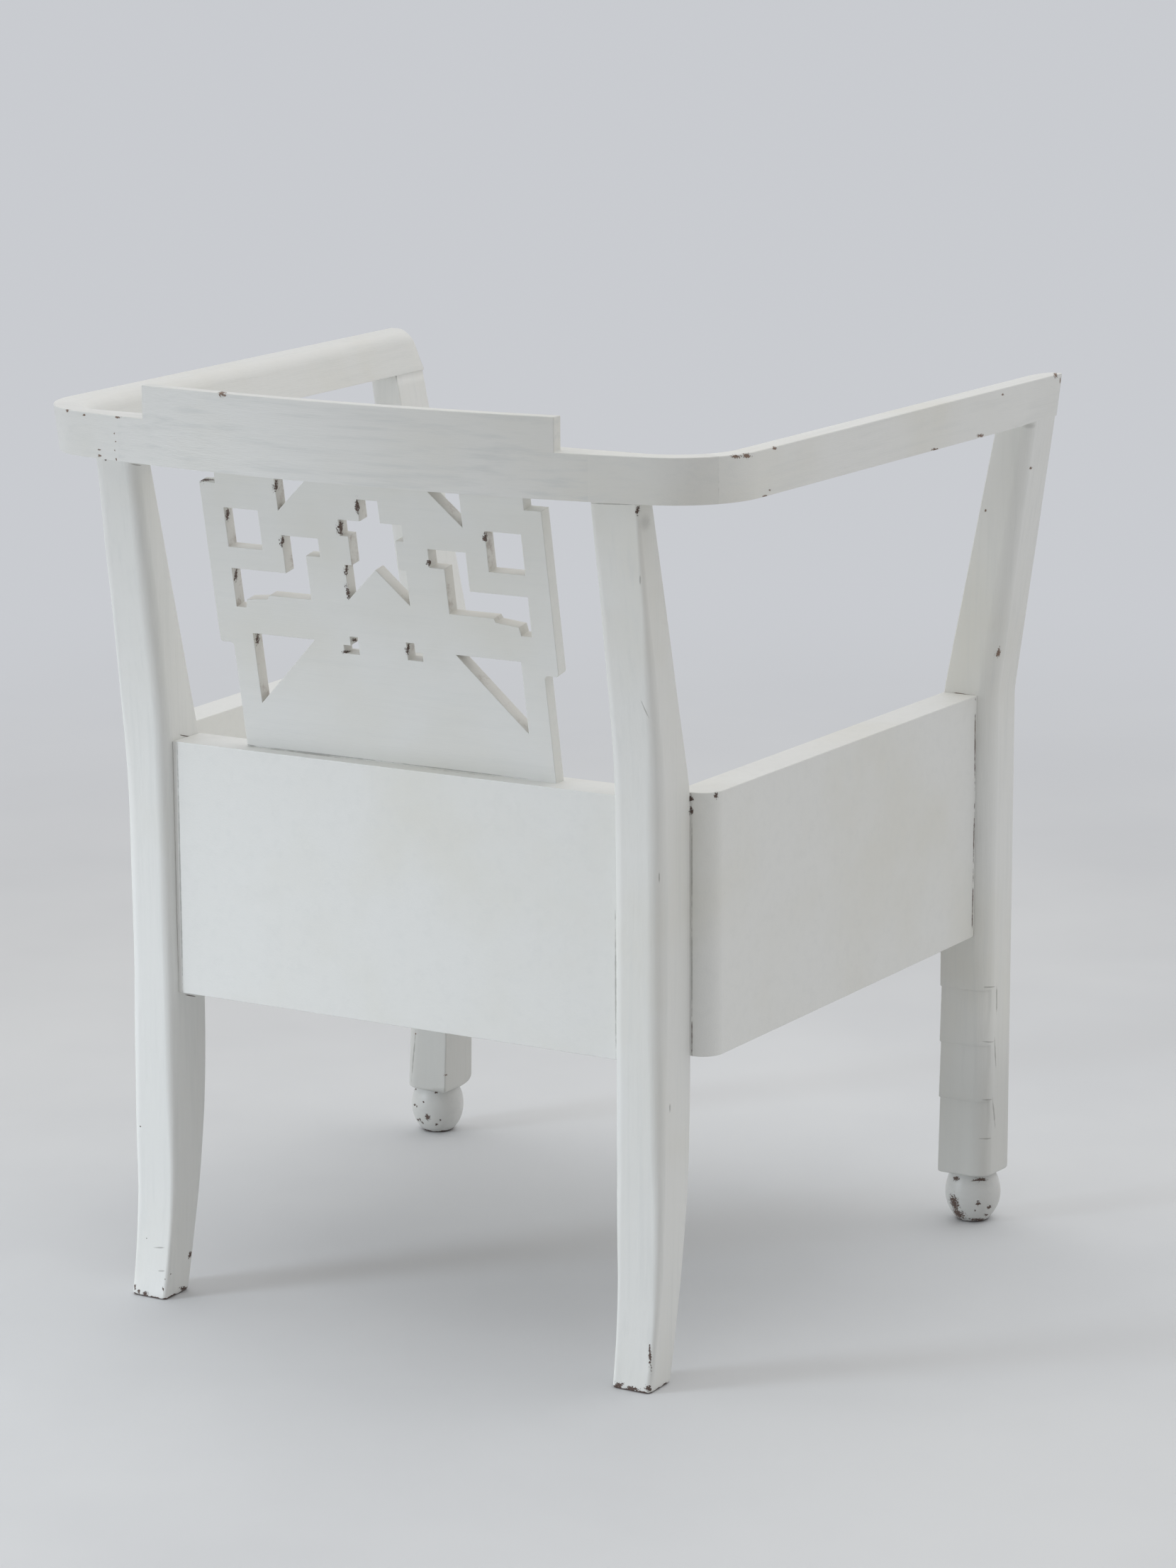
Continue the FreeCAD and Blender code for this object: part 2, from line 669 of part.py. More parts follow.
ball = add_body("ball_foot_left")
BALL_STEPS = 3
turned = [("0", "0")]
for step in range(BALL_STEPS + 1):
    angle = "(ball_low + (ball_high - ball_low) * %d / %d)" % (step, BALL_STEPS)
    level = "0" if step == 0 else "ball_centre + ball_half_height * sin%s" % angle
    turned.append(("ball_radius * cos%s" % angle, level))
turned.append(("0", "ball_height"))
ball_outline = add_sketch(ball, "XZ", [turned])
ball_turning = ball.newObject("PartDesign::Revolution", "Turning")
ball_turning.Profile = ball_outline
ball_turning.ReferenceAxis = (ball_outline, ["V_Axis"])
ball_turning.Angle = 360
ball.setExpression("Placement.Base.x", spell("front_leg_mid_x"))
ball.setExpression("Placement.Base.y", spell("front_leg_mid_y"))
ball_tenon, ball_socket = bar_and_hole(8, "ball_tenon_radius", "ball_tenon_rise + 1",
                                       ("front_leg_mid_x", "front_leg_mid_y", "ball_height - 1"))
ball_foot_left = tenoned(ball, [ball_tenon])
ball_foot_left.Label = "ball_foot_left"
front_leg_left = drilled(tenoned(front, [front_top_tenon]),
                         [side_front_mortise, front_mortise, ball_socket], "front_leg_left")

# Seat box
back = board("back_apron", [
    ("-rear_leg_in", "rear_leg_front"),
    ("rear_leg_in", "rear_leg_front"),
    ("rear_leg_in", "back_apron_out"),
    ("-rear_leg_in", "back_apron_out"),
], "apron_foot", "apron_height")
add_pocket(back, add_sketch(back, "YZ", [slot_profile("-housing", "20")]), "2 * splat_half")
back_apron = drilled(tenoned(back, [back_tenon, mirrored(back_tenon, "Right tenon")]),
                     nail_holes_both, "back_apron")

side = board("side_apron_left", [
    (side_in("front_leg_back"), "front_leg_back"),
    (side_out("front_leg_back"), "front_leg_back"),
    (side_out("rear_leg_front - side_apron_round"), "rear_leg_front - side_apron_round",
     "side_apron_round", 1),
    (side_out("rear_leg_front") + " - side_apron_round", "rear_leg_front"),
    (side_in("rear_leg_front"), "rear_leg_front"),
], "apron_foot", "apron_height")
side_apron_left = drilled(tenoned(side, [side_rear_tenon, side_front_tenon]), nail_holes, "side_apron_left")

front_board = board("front_apron", [
    ("-front_leg_in", "front_apron_front"),
    ("front_leg_in", "front_apron_front"),
    ("front_leg_in", "front_apron_back"),
    ("-front_leg_in", "front_apron_back"),
], "apron_foot", "front_apron_top - apron_foot")
front_apron = drilled(tenoned(front_board, [front_tenon, mirrored(front_tenon, "Right tenon")]),
                      nail_holes_both, "front_apron")

SEAT_BACK = "rear_leg_front - seat_gap"
SEAT_FRONT = "front_apron_back + seat_gap"
seat_board = board("seat_board", [
    ("-" + side_in(SEAT_FRONT, "seat_gap"), SEAT_FRONT),
    (side_in(SEAT_FRONT, "seat_gap"), SEAT_FRONT),
    (side_in(SEAT_BACK, "seat_gap"), SEAT_BACK),
    ("-" + side_in(SEAT_BACK, "seat_gap"), SEAT_BACK),
], "ledger_top", "seat_thick")


def cross_ledger(label, near_y, far_y):
    """A ledger that runs from one side apron to the other."""
    blank = board(label, [
        ("-" + side_in(near_y), near_y),
        (side_in(near_y), near_y),
        (side_in(far_y), far_y),
        ("-" + side_in(far_y), far_y),
    ], "ledger_foot", "ledger_height")
    return drilled(blank, nail_holes_both, label)


seat_ledger_back = cross_ledger("seat_ledger_back", BACK_LEDGER_Y, "rear_leg_front")
seat_ledger_front = cross_ledger("seat_ledger_front", "front_apron_back", FRONT_LEDGER_Y)
side_strip = board("seat_ledger_left", [
    (side_in(FRONT_LEDGER_Y, "ledger_width"), FRONT_LEDGER_Y),
    (side_in(FRONT_LEDGER_Y), FRONT_LEDGER_Y),
    (side_in(BACK_LEDGER_Y), BACK_LEDGER_Y),
    (side_in(BACK_LEDGER_Y, "ledger_width"), BACK_LEDGER_Y),
], "ledger_foot", "ledger_height")
seat_ledger_left = drilled(side_strip, nail_holes, "seat_ledger_left")


def corner_block(label, face, y0, y1):
    """A glue block in a corner of the seat box, under the ledgers."""
    return board(label, [(face, y0), (side_in(y0), y0), (side_in(y1), y1), (face, y1)],
                 "ledger_foot - block_height", "block_height")


corner_block_back_left = corner_block("corner_block_back_left", side_in("rear_leg_front") + " - block_size",
                                      "rear_leg_front - block_size", "rear_leg_front")
corner_block_front_left = corner_block("corner_block_front_left", side_in("front_leg_back") + " - block_size",
                                       "front_apron_back", "front_apron_back + block_size")

# Fretted splat, drawn upright and then leaned
splat = add_body("back_splat")
EAR = "splat_half + splat_ear"
NECK = "splat_half - splat_top_inset"
EAR_TOP = "ear_foot + ear_height"
splat_pad = add_pad(splat, add_sketch(splat, "XZ", [[
    ("-splat_half", "-housing"),
    ("splat_half", "-housing"),
    ("splat_half", "ear_foot", "ear_round", -1),
    ("splat_half + ear_round", "ear_foot + ear_round"),
    (EAR + " - ear_round", "ear_foot + ear_round", "ear_round", 1),
    (EAR, "ear_foot + 2 * ear_round"),
    (EAR, EAR_TOP),
    (NECK, EAR_TOP),
    (NECK, "splat_end"),
    ("-(%s)" % NECK, "splat_end"),
    ("-(%s)" % NECK, EAR_TOP),
    ("-(%s)" % EAR, EAR_TOP),
    ("-(%s)" % EAR, "ear_foot + 2 * ear_round", "ear_round", 1),
    ("-(%s - ear_round)" % EAR, "ear_foot + ear_round"),
    ("-(splat_half + ear_round)", "ear_foot + ear_round", "ear_round", -1),
    ("-splat_half", "ear_foot"),
]]), "splat_thick")

SQUARE_OUT = "splat_half - margin"
SQUARE_IN = "splat_half - margin - square_wide"
square = [(SQUARE_IN, "square_foot"), (SQUARE_OUT, "square_foot"),
          (SQUARE_OUT, "square_foot + square_high"), (SQUARE_IN, "square_foot + square_high")]
gable = [("gable_x", "splat_free - gable_rise"), ("gable_x", "splat_free"),
         ("gable_x - gable_run", "splat_free")]
key = [("key_in", "key_top - key_band"), ("key_in + key_arm", "key_top - key_band"),
       ("key_in + key_arm", "key_shelf"), ("key_return", "key_shelf"),
       ("key_return + 1.5", "key_shelf - key_dip * 0.6"), (SQUARE_OUT + " - key_toe * 1.15", "key_shelf - key_dip"),
       (SQUARE_OUT + " - key_toe", "key_foot"), (SQUARE_OUT, "key_foot"),
       (SQUARE_OUT, "key_foot + key_gap"), ("gable_x", "key_foot + key_gap"), ("gable_x", "key_top"),
       ("key_in", "key_top")]
wedge = [("wedge_out", "wedge_top - wedge_rise"), ("wedge_out", "wedge_top"),
         ("wedge_out - wedge_run", "wedge_top")]
sides = [add_pocket(splat, add_sketch(splat, "XZ", [shape]), reverse=True)
         for shape in (square, gable, key, wedge)]
other_side = splat.newObject("PartDesign::Mirrored", "OtherSide")
other_side.Originals = sides
other_side.MirrorPlane = ([f for f in splat.Origin.OriginFeatures if f.Role == "YZ_Plane"][0], [""])
splat.Tip = other_side
doc.recompute()

# The two small eyes were cut a little off the middle.
for sign in ("", "-"):
    eye_in, eye_bar, eye_out = [
        "eye_shift + %s(eye_in + %s)" % (sign, more) for more in ("0", "eye_bar", "eye_toe")]
    eye = [(eye_in, "eye_foot"), (eye_out, "eye_foot"), (eye_out, "eye_foot + eye_step"),
           (eye_bar, "eye_foot + eye_step"), (eye_bar, "eye_foot + eye_high"), (eye_in, "eye_foot + eye_high")]
    add_pocket(splat, add_sketch(splat, "XZ", [eye]), reverse=True)

right_half = [
    ("flare_half", "flare_foot"), ("flare_half", "waist_foot"), ("waist_half", "waist_foot"),
    ("waist_half", "neck_foot - shoulder_drop"), ("shoulder_half", "neck_foot - shoulder_drop"),
    ("shoulder_half", "neck_foot"), ("neck_half", "neck_foot"), ("neck_half", "neck_top"),
]
left_half = [("-" + x, s) for x, s in reversed(right_half)]
lantern = [("0", "flare_foot + roof_rise")] + right_half + left_half
add_pocket(splat, add_sketch(splat, "XZ", [lantern]), reverse=True)
splat.setExpression("Placement.Base.y", spell("splat_back"))
splat.setExpression("Placement.Base.z", spell("apron_top"))
splat.Placement.Rotation = FreeCAD.Rotation(V(1, 0, 0), -10)
splat.setExpression("Placement.Rotation.Angle", spell("-splat_lean"))

both_sides = [rail_corner_left, arm_left, rear_leg_left, front_leg_left, ball_foot_left, side_apron_left,
              seat_ledger_left, corner_block_back_left, corner_block_front_left]
nodes = both_sides + [mirrored(piece, piece.Label.replace("_left", "_right")) for piece in both_sides]
nodes += [crest_rail, splat, back_apron, front_apron, seat_board, seat_ledger_back, seat_ledger_front]
nodes += [rail_splines, ledger_nails]
doc.recompute()

for obj in doc.Objects:
    bad = [word for word in obj.State if word in ("Invalid", "Error")]
    if bad:
        raise RuntimeError("%s (%s) is %s" % (obj.Label, obj.Name, bad))
os.makedirs("parts", exist_ok=True)
for node in nodes:
    if node.Shape.isNull() or not node.Shape.isValid():
        raise RuntimeError("%s has no valid shape" % node.Label)
    node.Shape.exportStep("parts/%s.step" % node.Label)
    box = node.Shape.BoundBox
    print("%-26s %2d solids %10.0f mm3  x %.1f %.1f  y %.1f %.1f  z %.1f %.1f" % (
        node.Label, len(node.Shape.Solids), node.Shape.Volume,
        box.XMin, box.XMax, box.YMin, box.YMax, box.ZMin, box.ZMax))
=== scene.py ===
import math

import bmesh
import bpy
from mathutils import Matrix, Vector, noise
from mathutils.bvhtree import BVHTree


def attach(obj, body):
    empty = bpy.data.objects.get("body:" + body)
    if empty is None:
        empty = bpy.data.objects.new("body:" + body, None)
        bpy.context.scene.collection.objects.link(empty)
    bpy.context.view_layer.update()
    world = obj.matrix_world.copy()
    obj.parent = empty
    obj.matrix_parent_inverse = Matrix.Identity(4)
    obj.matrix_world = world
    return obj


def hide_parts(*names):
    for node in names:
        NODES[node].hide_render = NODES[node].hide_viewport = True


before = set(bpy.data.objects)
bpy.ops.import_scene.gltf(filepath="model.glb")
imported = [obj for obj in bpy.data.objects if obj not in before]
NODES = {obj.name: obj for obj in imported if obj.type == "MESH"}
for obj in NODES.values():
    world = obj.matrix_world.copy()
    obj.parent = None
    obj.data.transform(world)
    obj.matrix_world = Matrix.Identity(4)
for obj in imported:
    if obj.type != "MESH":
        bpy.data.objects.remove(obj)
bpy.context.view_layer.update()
MM = 0.001

# Without a seed of its own, noise_vector starts from the clock, and legs and balls differ from run to run
noise.seed_set(1)

# Sizes in millimetres and angles in degrees, as in the part's source
RAIL_UNDER, RAIL_TOP = 689, 724
APRON_TOP = 459
CREST_JOINT = 209
CORNER_JOINT_ANGLE = 35
SPLAY = 1.7
SPLAT_LEAN = 10.7
REAR_IN, REAR_OUT = 203, 244.5
REAR_FRONT, REAR_BACK = 187, 233.5
REAR_TOP_FRONT, REAR_TOP_BACK = 245.4, 267
REAR_BEND = 480
REAR_EDGE = 1.5
FOOT_RISE, FOOT_FRONT_RISE = 107, 240
FOOT_TAPER_OUT, FOOT_TAPER_RISE = 3, 150
FRONT_IN, FRONT_OUT = 244.2, 288.2
FRONT_TOP_OUT = 320.5
FRONT_FACE, FRONT_BACK = -295, -247
FRONT_TAPER = 0.5
FRONT_EDGE = 3.5
LEG_FOOT = 41
TIER_TOP, TIER_HEIGHT = 207, 48.5
BALL_RADIUS, BALL_HALF_HEIGHT, BALL_CENTRE = 23.4, 28.7, 24.3

# Sizes of this one chair, which the part's source has a little different or not at all
FOOT_KICK, FOOT_FRONT, FOOT_TAPER_IN = 12.8, 214, 4.8
FOOT_ROUND = 2.4
FRONT_TOP_IN = 290.7
FRONT_INNER_BACK_EDGE = 1.2
TIER_STEP, TURN_DOWN = 1.2, 19
BALL_SUNK = 4

# The edges of the slot for the splat, in the back apron's top, lie between these distances behind the middle
SLOT_FROM, SLOT_TO = 198, 223

# The camera that took the photograph: place in metres, angles in degrees, film and lens in millimetres
CAMERA_PLACE = (-1.8832, 3.1594, 1.2204)
CAMERA_AZIMUTH = 210.17
CAMERA_ELEVATION = 12.54
CAMERA_ROLL = -0.26
CAMERA_FILM_HEIGHT = 36
CAMERA_LENS = 106.46
PHOTO_WIDTH, PHOTO_HEIGHT = 1659, 2212


def between(value, low, high):
    """0 at low and below, 1 at high and above, with a soft start and end."""
    share = min(max((value - low) / (high - low), 0), 1)
    return share * share * (3 - 2 * share)


def read_off(value, table):
    """A number from a short table of (value, number), smoothly between its rows."""
    for (low, start), (high, end) in zip(table, table[1:]):
        if value <= high:
            return start + (end - start) * between(value, low, high)
    return table[-1][1]


def soft_ramp(value, width):
    """value where it is positive and 0 where it isn't, turning over about width."""
    return (value + math.sqrt(value * value + width * width)) / 2


def swing(height, rise, reach):
    """How far a leg that curves from the height rise down has swung out at a height."""
    radius = (rise * rise + reach * reach) / (2 * reach)
    drop = max(rise - height, 0)
    return radius - math.sqrt(radius * radius - drop * drop)


def steps(low, high, size):
    """Evenly spaced numbers from low to high, about size apart."""
    count = max(1, round(abs(high - low) / size))
    return [low + (high - low) * n / count for n in range(count + 1)]


def rounded_under(height, radius):
    """How far in a rounded lower edge lies at a height above its underside."""
    low = max(radius - height, 0)
    return radius - math.sqrt(radius * radius - low * low)


def make_object(name, mesh_edit):
    """A smooth object from a bmesh, which is freed; its normals follow the larger faces."""
    mesh = bpy.data.meshes.new(name)
    mesh_edit.to_mesh(mesh)
    mesh_edit.free()
    mesh.shade_smooth()
    made = bpy.data.objects.new(name, mesh)
    bpy.context.scene.collection.objects.link(made)
    weighted = made.modifiers.new("FlatFaces", "WEIGHTED_NORMAL")
    weighted.keep_sharp = True
    weighted.weight = 80
    return made


def stand_for(piece, node):
    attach(piece, "root")
    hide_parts(node)
    return piece


# The CAD meshes' points this close in millimetres are one; facets that meet at up to the first angle in
# degrees are one flat face, and over the second they meet in an edge
JOIN_WITHIN = 0.004
FLAT_UP_TO, EDGE_OVER = 0.25, 28


def eased(node, width, left_sharp=None):
    """The node's own shape with its flat facets joined and its edges worn round.

    width is the wear in millimetres. left_sharp picks the edges that stay sharp, by their two ends.
    """
    edit = bmesh.new()
    edit.from_mesh(NODES[node].data)
    bmesh.ops.remove_doubles(edit, verts=edit.verts, dist=JOIN_WITHIN * MM)
    bmesh.ops.dissolve_limit(edit, angle_limit=math.radians(FLAT_UP_TO), verts=edit.verts, edges=edit.edges)

    def edges(sharp):
        bent = [edge for edge in edit.edges
                if edge.is_manifold and edge.calc_face_angle(0) > math.radians(EDGE_OVER)]
        if left_sharp is None:
            return [] if sharp else bent
        return [edge for edge in bent if left_sharp(*[vertex.co / MM for vertex in edge.verts]) == sharp]

    bmesh.ops.bevel(edit, geom=edges(sharp=False), offset=width * MM, offset_type="OFFSET", segments=2,
                    profile=0.6, affect="EDGES", clamp_overlap=True, loop_slide=True)
    for edge in edges(sharp=True):
        edge.smooth = False
    return stand_for(make_object(node + "_wood", edit), node)


def loft(name, rings, sharp=50):
    """A closed skin over rings of points in millimetres, smooth but for edges over sharp degrees."""
    edit = bmesh.new()
    rows = [[edit.verts.new(Vector(point) * MM) for point in ring] for ring in rings]
    for lower, upper in zip(rows, rows[1:]):
        for n in range(len(lower)):
            after = (n + 1) % len(lower)
            edit.faces.new((lower[n], lower[after], upper[after], upper[n]))
    edit.faces.new(list(reversed(rows[0])))
    edit.faces.new(rows[-1])
    bmesh.ops.recalc_face_normals(edit, faces=edit.faces)
    for edge in edit.edges:
        edge.smooth = edge.calc_face_angle(0) < math.radians(sharp)
    return make_object(name, edit)


def corner_arc(corner, toward, radius, count):
    """Points round one corner of an upright section; toward is the direction of its middle."""
    x, y = corner
    side_x, side_y = toward
    centre = (x - side_x * radius, y - side_y * radius)
    middle = math.atan2(side_y, side_x)
    points = []
    for n in range(count + 1):
        angle = middle + math.radians(90) * (n / count - 0.5)
        points.append((centre[0] + radius * math.cos(angle), centre[1] + radius * math.sin(angle)))
    return points


def section(x_in, x_out, y_front, y_back, rounds, counts):
    """A leg's section, counter-clockwise from its inner front corner."""
    corners = [((x_in, y_front), (-1, -1)), ((x_out, y_front), (1, -1)),
               ((x_out, y_back), (1, 1)), ((x_in, y_back), (-1, 1))]
    points = []
    for (corner, toward), radius, count in zip(corners, rounds, counts):
        points += corner_arc(corner, toward, radius, count)
    return points


def hand_made(point, amount, size):
    """Moves a point by up to about amount, the way a plane and thick paint leave wood uneven."""
    return Vector(point) + noise.noise_vector(Vector(point) / size) * amount


def leg_unevenness(amount, z, low, high):
    """amount, fading in between two heights and out where the leg meets the rail."""
    return amount * between(z, low, high) * (1 - between(z, 640, 685))


def sided(points, side):
    """The same points for the left piece, side 1, or mirrored for the right one, side -1."""
    turned = [(x * side, y, z) for x, y, z in points]
    return turned if side > 0 else list(reversed(turned))


# Rear legs: their back corners are crisp at the floor and well rounded at the seat. Above it the right
# leg's run out to an edge, and the left leg's stay round. Tables are (height, radius).
REAR_ROUND_OUT = {
    -1: [(0, 4), (45, 4.4), (100, 6), (200, 9), (290, 12), (450, 11), (530, 8), (620, 4), (689, 3)],
    1: [(0, 4), (45, 4.4), (100, 6), (200, 9), (290, 12), (400, 11), (500, 5), (600, 8), (689, 13)],
}
REAR_ROUND_IN = {
    -1: [(0, 3.4), (45, 3.6), (94, 5), (180, 8.3), (460, 9), (600, 7), (689, 5)],
    1: [(0, 3.4), (45, 3.6), (94, 5), (180, 8.3), (460, 10), (560, 11), (689, 9)],
}
# How softly the rear leg bends above the seat, behind and in front, in millimetres of height
BACK_BEND, FRONT_BEND = 40, 4
# How far a leg's surface is uneven, and over what length
REAR_UNEVEN, REAR_WAVE = 0.25, 55
FRONT_UNEVEN, FRONT_WAVE = 0.2, 50


def rear_leg(side, name):
    round_out, round_in = REAR_ROUND_OUT[side], REAR_ROUND_IN[side]
    lean_back = (REAR_TOP_BACK - REAR_BACK) / (RAIL_UNDER - REAR_BEND)
    lean_front = (REAR_TOP_FRONT - REAR_FRONT) / (RAIL_UNDER - APRON_TOP)
    rings = []
    for z in [0, 0.3, 0.9, FOOT_ROUND] + steps(5, FOOT_FRONT_RISE, 6) + steps(246, RAIL_UNDER, 8):
        y_back = REAR_BACK + swing(z, FOOT_RISE, FOOT_KICK) + lean_back * soft_ramp(z - REAR_BEND, BACK_BEND)
        y_front = REAR_FRONT + swing(z, FOOT_FRONT_RISE, FOOT_FRONT - REAR_FRONT)
        y_front += lean_front * soft_ramp(z - APRON_TOP, FRONT_BEND)
        taper = max(1 - z / FOOT_TAPER_RISE, 0)
        x_in = REAR_IN + FOOT_TAPER_IN * taper
        x_out = REAR_OUT - FOOT_TAPER_OUT * taper
        worn = rounded_under(z, FOOT_ROUND)
        radii = (REAR_EDGE, REAR_EDGE, read_off(z, round_out), read_off(z, round_in))
        outline = section(x_in + worn, x_out - worn, y_front + worn, y_back - worn, radii, (3, 3, 9, 9))
        ring = sided([(x, y, z) for x, y in outline], side)
        uneven = leg_unevenness(REAR_UNEVEN, z, 5, 60)
        rings.append([hand_made(point, uneven, REAR_WAVE) for point in ring])
    return stand_for(loft(name + "_wood", rings), name)


# Front legs: three overlapping tiers, whose ledges turn down at the outer back corner. The table is
# (height, radius) of that corner.
FRONT_ROUND = [(LEG_FOOT, 14), (APRON_TOP, 14), (RAIL_UNDER, 10)]
LEG_UNDER_ROUND = 3
LEDGES = [TIER_TOP - TIER_HEIGHT * tier for tier in range(3)]
LOWEST_TIER_FOOT = LEG_FOOT + 12
# How deep the inner and the outer front toe are cut away at the underside, and up to what height over it
TOE_IN, TOE_OUT, TOE_HEIGHT = 24, 1.5, 8
TOE_LEVELS = (0, 0.3, 0.8, 1.5, 2.3, 3.2, 4.5, 6, 8, 12)
# How far the back of each leg's underside is lifted, and between which heights the lift fades out
LEG_LIFT = {-1: 3.2, 1: 1}
LIFT_FADE = (LEG_FOOT - 4, LEG_FOOT + 13)
# The left foot stands a little further out than the right one, from this height down
FRONT_SPREAD = {-1: 0, 1: 5}
SPREAD_RISE = 130
# Steps round the section's corners, inner front, outer front, outer back and inner back, and the numbers
# of the first points on the second and the third
CORNER_STEPS = (4, 4, 14, 3)
OUTER_FRONT = CORNER_STEPS[0] + 1
OUTER_BACK = OUTER_FRONT + CORNER_STEPS[1] + 1
# Where on the outer back corner the tiers begin, as a share of it
TIERS_FROM = 0.27


def spread(side, z):
    """How far out a front leg stands at a height, beyond its place in the source."""
    return FRONT_SPREAD[side] * max(1 - z / SPREAD_RISE, 0)


def toe_cut(height, n):
    """How far the toe is cut away at a height above the underside, for point n of the section."""
    if n >= OUTER_BACK:
        return 0
    low = max(1 - height / TOE_HEIGHT, 0)
    return (1 - math.sqrt(1 - low * low)) * (TOE_IN if n < OUTER_FRONT else TOE_OUT)


def tier_relief(z):
    """How deep the surface lies under its ledge, and how far down from the ledge this height is."""
    for ledge, foot in zip(LEDGES, LEDGES[1:] + [LOWEST_TIER_FOOT]):
        if foot < z <= ledge:
            down = ledge - z
            return TIER_STEP * (1 - down / (ledge - foot)), down
    return 0, 0


def plainness(n, down):
    """1 where point n of the section has no relief: on the outer face and the corner's outer part.

    The line where the tiers begin is crisp at the ledge and blurs far down from it.
    """
    if n < OUTER_FRONT:
        return 0
    if n < OUTER_BACK:
        return 1
    share = (n - OUTER_BACK) / CORNER_STEPS[2]
    blur = 0.02 + 0.3 * between(down, TURN_DOWN - 3, TIER_HEIGHT)
    return 1 - between(share, TIERS_FROM, TIERS_FROM + blur)


def front_leg_levels():
    """Heights of the leg's rings: close together at the toe, the ledges and where they turn down."""
    levels = [LEG_FOOT + rise for rise in TOE_LEVELS]
    for top, foot in zip(LEDGES[::-1], [LEG_FOOT + 17] + LEDGES[:0:-1]):
        levels += [z for z in steps(foot, top, 4) if levels[-1] + 1 < z < top - 1]
        levels += [top - TURN_DOWN - 0.3, top - TURN_DOWN + 0.3, top - 0.35, top, top + 0.25]
    return sorted(set(levels)) + steps(TIER_TOP + 8, RAIL_UNDER, 10)


def front_leg(side, name):
    rings = []
    for z in front_leg_levels():
        up = max(z - APRON_TOP, 0) / (RAIL_UNDER - APRON_TOP)
        x_in = FRONT_IN + (FRONT_TOP_IN - FRONT_IN) * up + spread(side, z)
        x_out = FRONT_OUT + (FRONT_TOP_OUT - FRONT_OUT) * up + spread(side, z)
        middle_x, middle_y = (x_in + x_out) / 2, (FRONT_FACE + FRONT_BACK) / 2
        deep, down = tier_relief(z)
        under = rounded_under(z - LEG_FOOT, LEG_UNDER_ROUND)
        lifted = LEG_LIFT[side] * (1 - between(z, *LIFT_FADE))
        radii = (FRONT_EDGE, FRONT_EDGE, read_off(z, FRONT_ROUND), FRONT_INNER_BACK_EDGE)
        outline = section(x_in + under, x_out - under, FRONT_FACE + under,
                          FRONT_BACK - FRONT_TAPER * up - under, radii, CORNER_STEPS)
        ring = []
        for n, (x, y) in enumerate(outline):
            away = Vector((x - middle_x, y - middle_y)).normalized()
            cut = deep * (1 - plainness(n, down))
            backward = (y - FRONT_FACE) / (FRONT_BACK - FRONT_FACE)
            lift = lifted * min(max(backward, 0), 1)
            # The leg's inner face turns with the arm's, until they are flush under the rail
            flush = (y - FRONT_FACE) * math.tan(math.radians(SPLAY)) * up * (x_out - x) / (x_out - x_in)
            ring.append((x - away.x * cut - flush, y - away.y * cut + toe_cut(z - LEG_FOOT, n), z + lift))
        uneven = leg_unevenness(FRONT_UNEVEN, z, LEG_FOOT + 10, 100)
        rings.append([hand_made(point, uneven, FRONT_WAVE) for point in sided(ring, side)])
    return stand_for(loft(name + "_wood", rings, 84), name)


BALL_POINTS = 64
BALL_WORN = 1.2
BALL_UNEVEN, BALL_WAVE = 0.35, 14


def ball_foot(side, name):
    """A turned foot, slightly uneven, with a flat worn underneath."""
    centre_x = ((FRONT_IN + FRONT_OUT) / 2 + spread(side, BALL_CENTRE)) * side
    centre_y = (FRONT_FACE + FRONT_BACK) / 2
    low = math.asin(-BALL_CENTRE / BALL_HALF_HEIGHT)
    high = math.asin((LEG_FOOT + BALL_SUNK - BALL_CENTRE) / BALL_HALF_HEIGHT)
    profile = [(BALL_RADIUS * math.cos(low) - BALL_WORN, 0)]
    for angle in steps(low + 0.04, high, 0.05):
        profile.append((BALL_RADIUS * math.cos(angle), BALL_CENTRE + BALL_HALF_HEIGHT * math.sin(angle)))
    rings = []
    for radius, z in profile:
        uneven = BALL_UNEVEN if z > 1 else 0
        ring = []
        for n in range(BALL_POINTS):
            turn = 2 * math.pi * n / BALL_POINTS
            point = (centre_x + radius * math.cos(turn), centre_y + radius * math.sin(turn), z)
            ring.append(hand_made(point, uneven, BALL_WAVE))
        rings.append(ring)
    return stand_for(loft(name + "_wood", rings), name)


# The rail's round corners and arms: the lines are those of the part's source, with arcs in fine steps
OVERALL_WIDTH, OVERALL_DEPTH, BOW_RADIUS, CORNER_RADIUS = 649.4, 590, 1280, 70
ARM_WIDTH, RAIL_SLANT, RAIL_ROUND = 34, 9, 14
SIN_SPLAY, COS_SPLAY = math.sin(math.radians(SPLAY)), math.cos(math.radians(SPLAY))
BOW_Y = OVERALL_DEPTH / 2 - BOW_RADIUS
LEAD = (OVERALL_WIDTH / 2 * COS_SPLAY - OVERALL_DEPTH / 2 * SIN_SPLAY) - CORNER_RADIUS - BOW_Y * SIN_SPLAY
ROOT = math.sqrt((BOW_RADIUS - CORNER_RADIUS) ** 2 - LEAD * LEAD)
CORNER_X, CORNER_Y = LEAD * COS_SPLAY - SIN_SPLAY * ROOT, BOW_Y + LEAD * SIN_SPLAY + COS_SPLAY * ROOT
INNER_RADIUS = CORNER_RADIUS - ARM_WIDTH
# The wear on the outer upper edge, and the upright foot of the slanted inner face
RAIL_EASE, RAIL_HEEL = 0.9, 1
# In front of the first y the arms' outer faces follow the legs'. Up to the second they may stand out more,
# by up to the run, and behind it they are left as they are.
DRESSED_FROM, DRESSED_TO, DRESSED_RUN = -250, -185, 5
# How far each corner's outer face leans in toward its foot
UNDERCUT = {-1: 0, 1: 4}
# The inner upper edge at each arm's front end is rounded off over this length, and this far in
END_ROUND, END_INSET = 25, 16


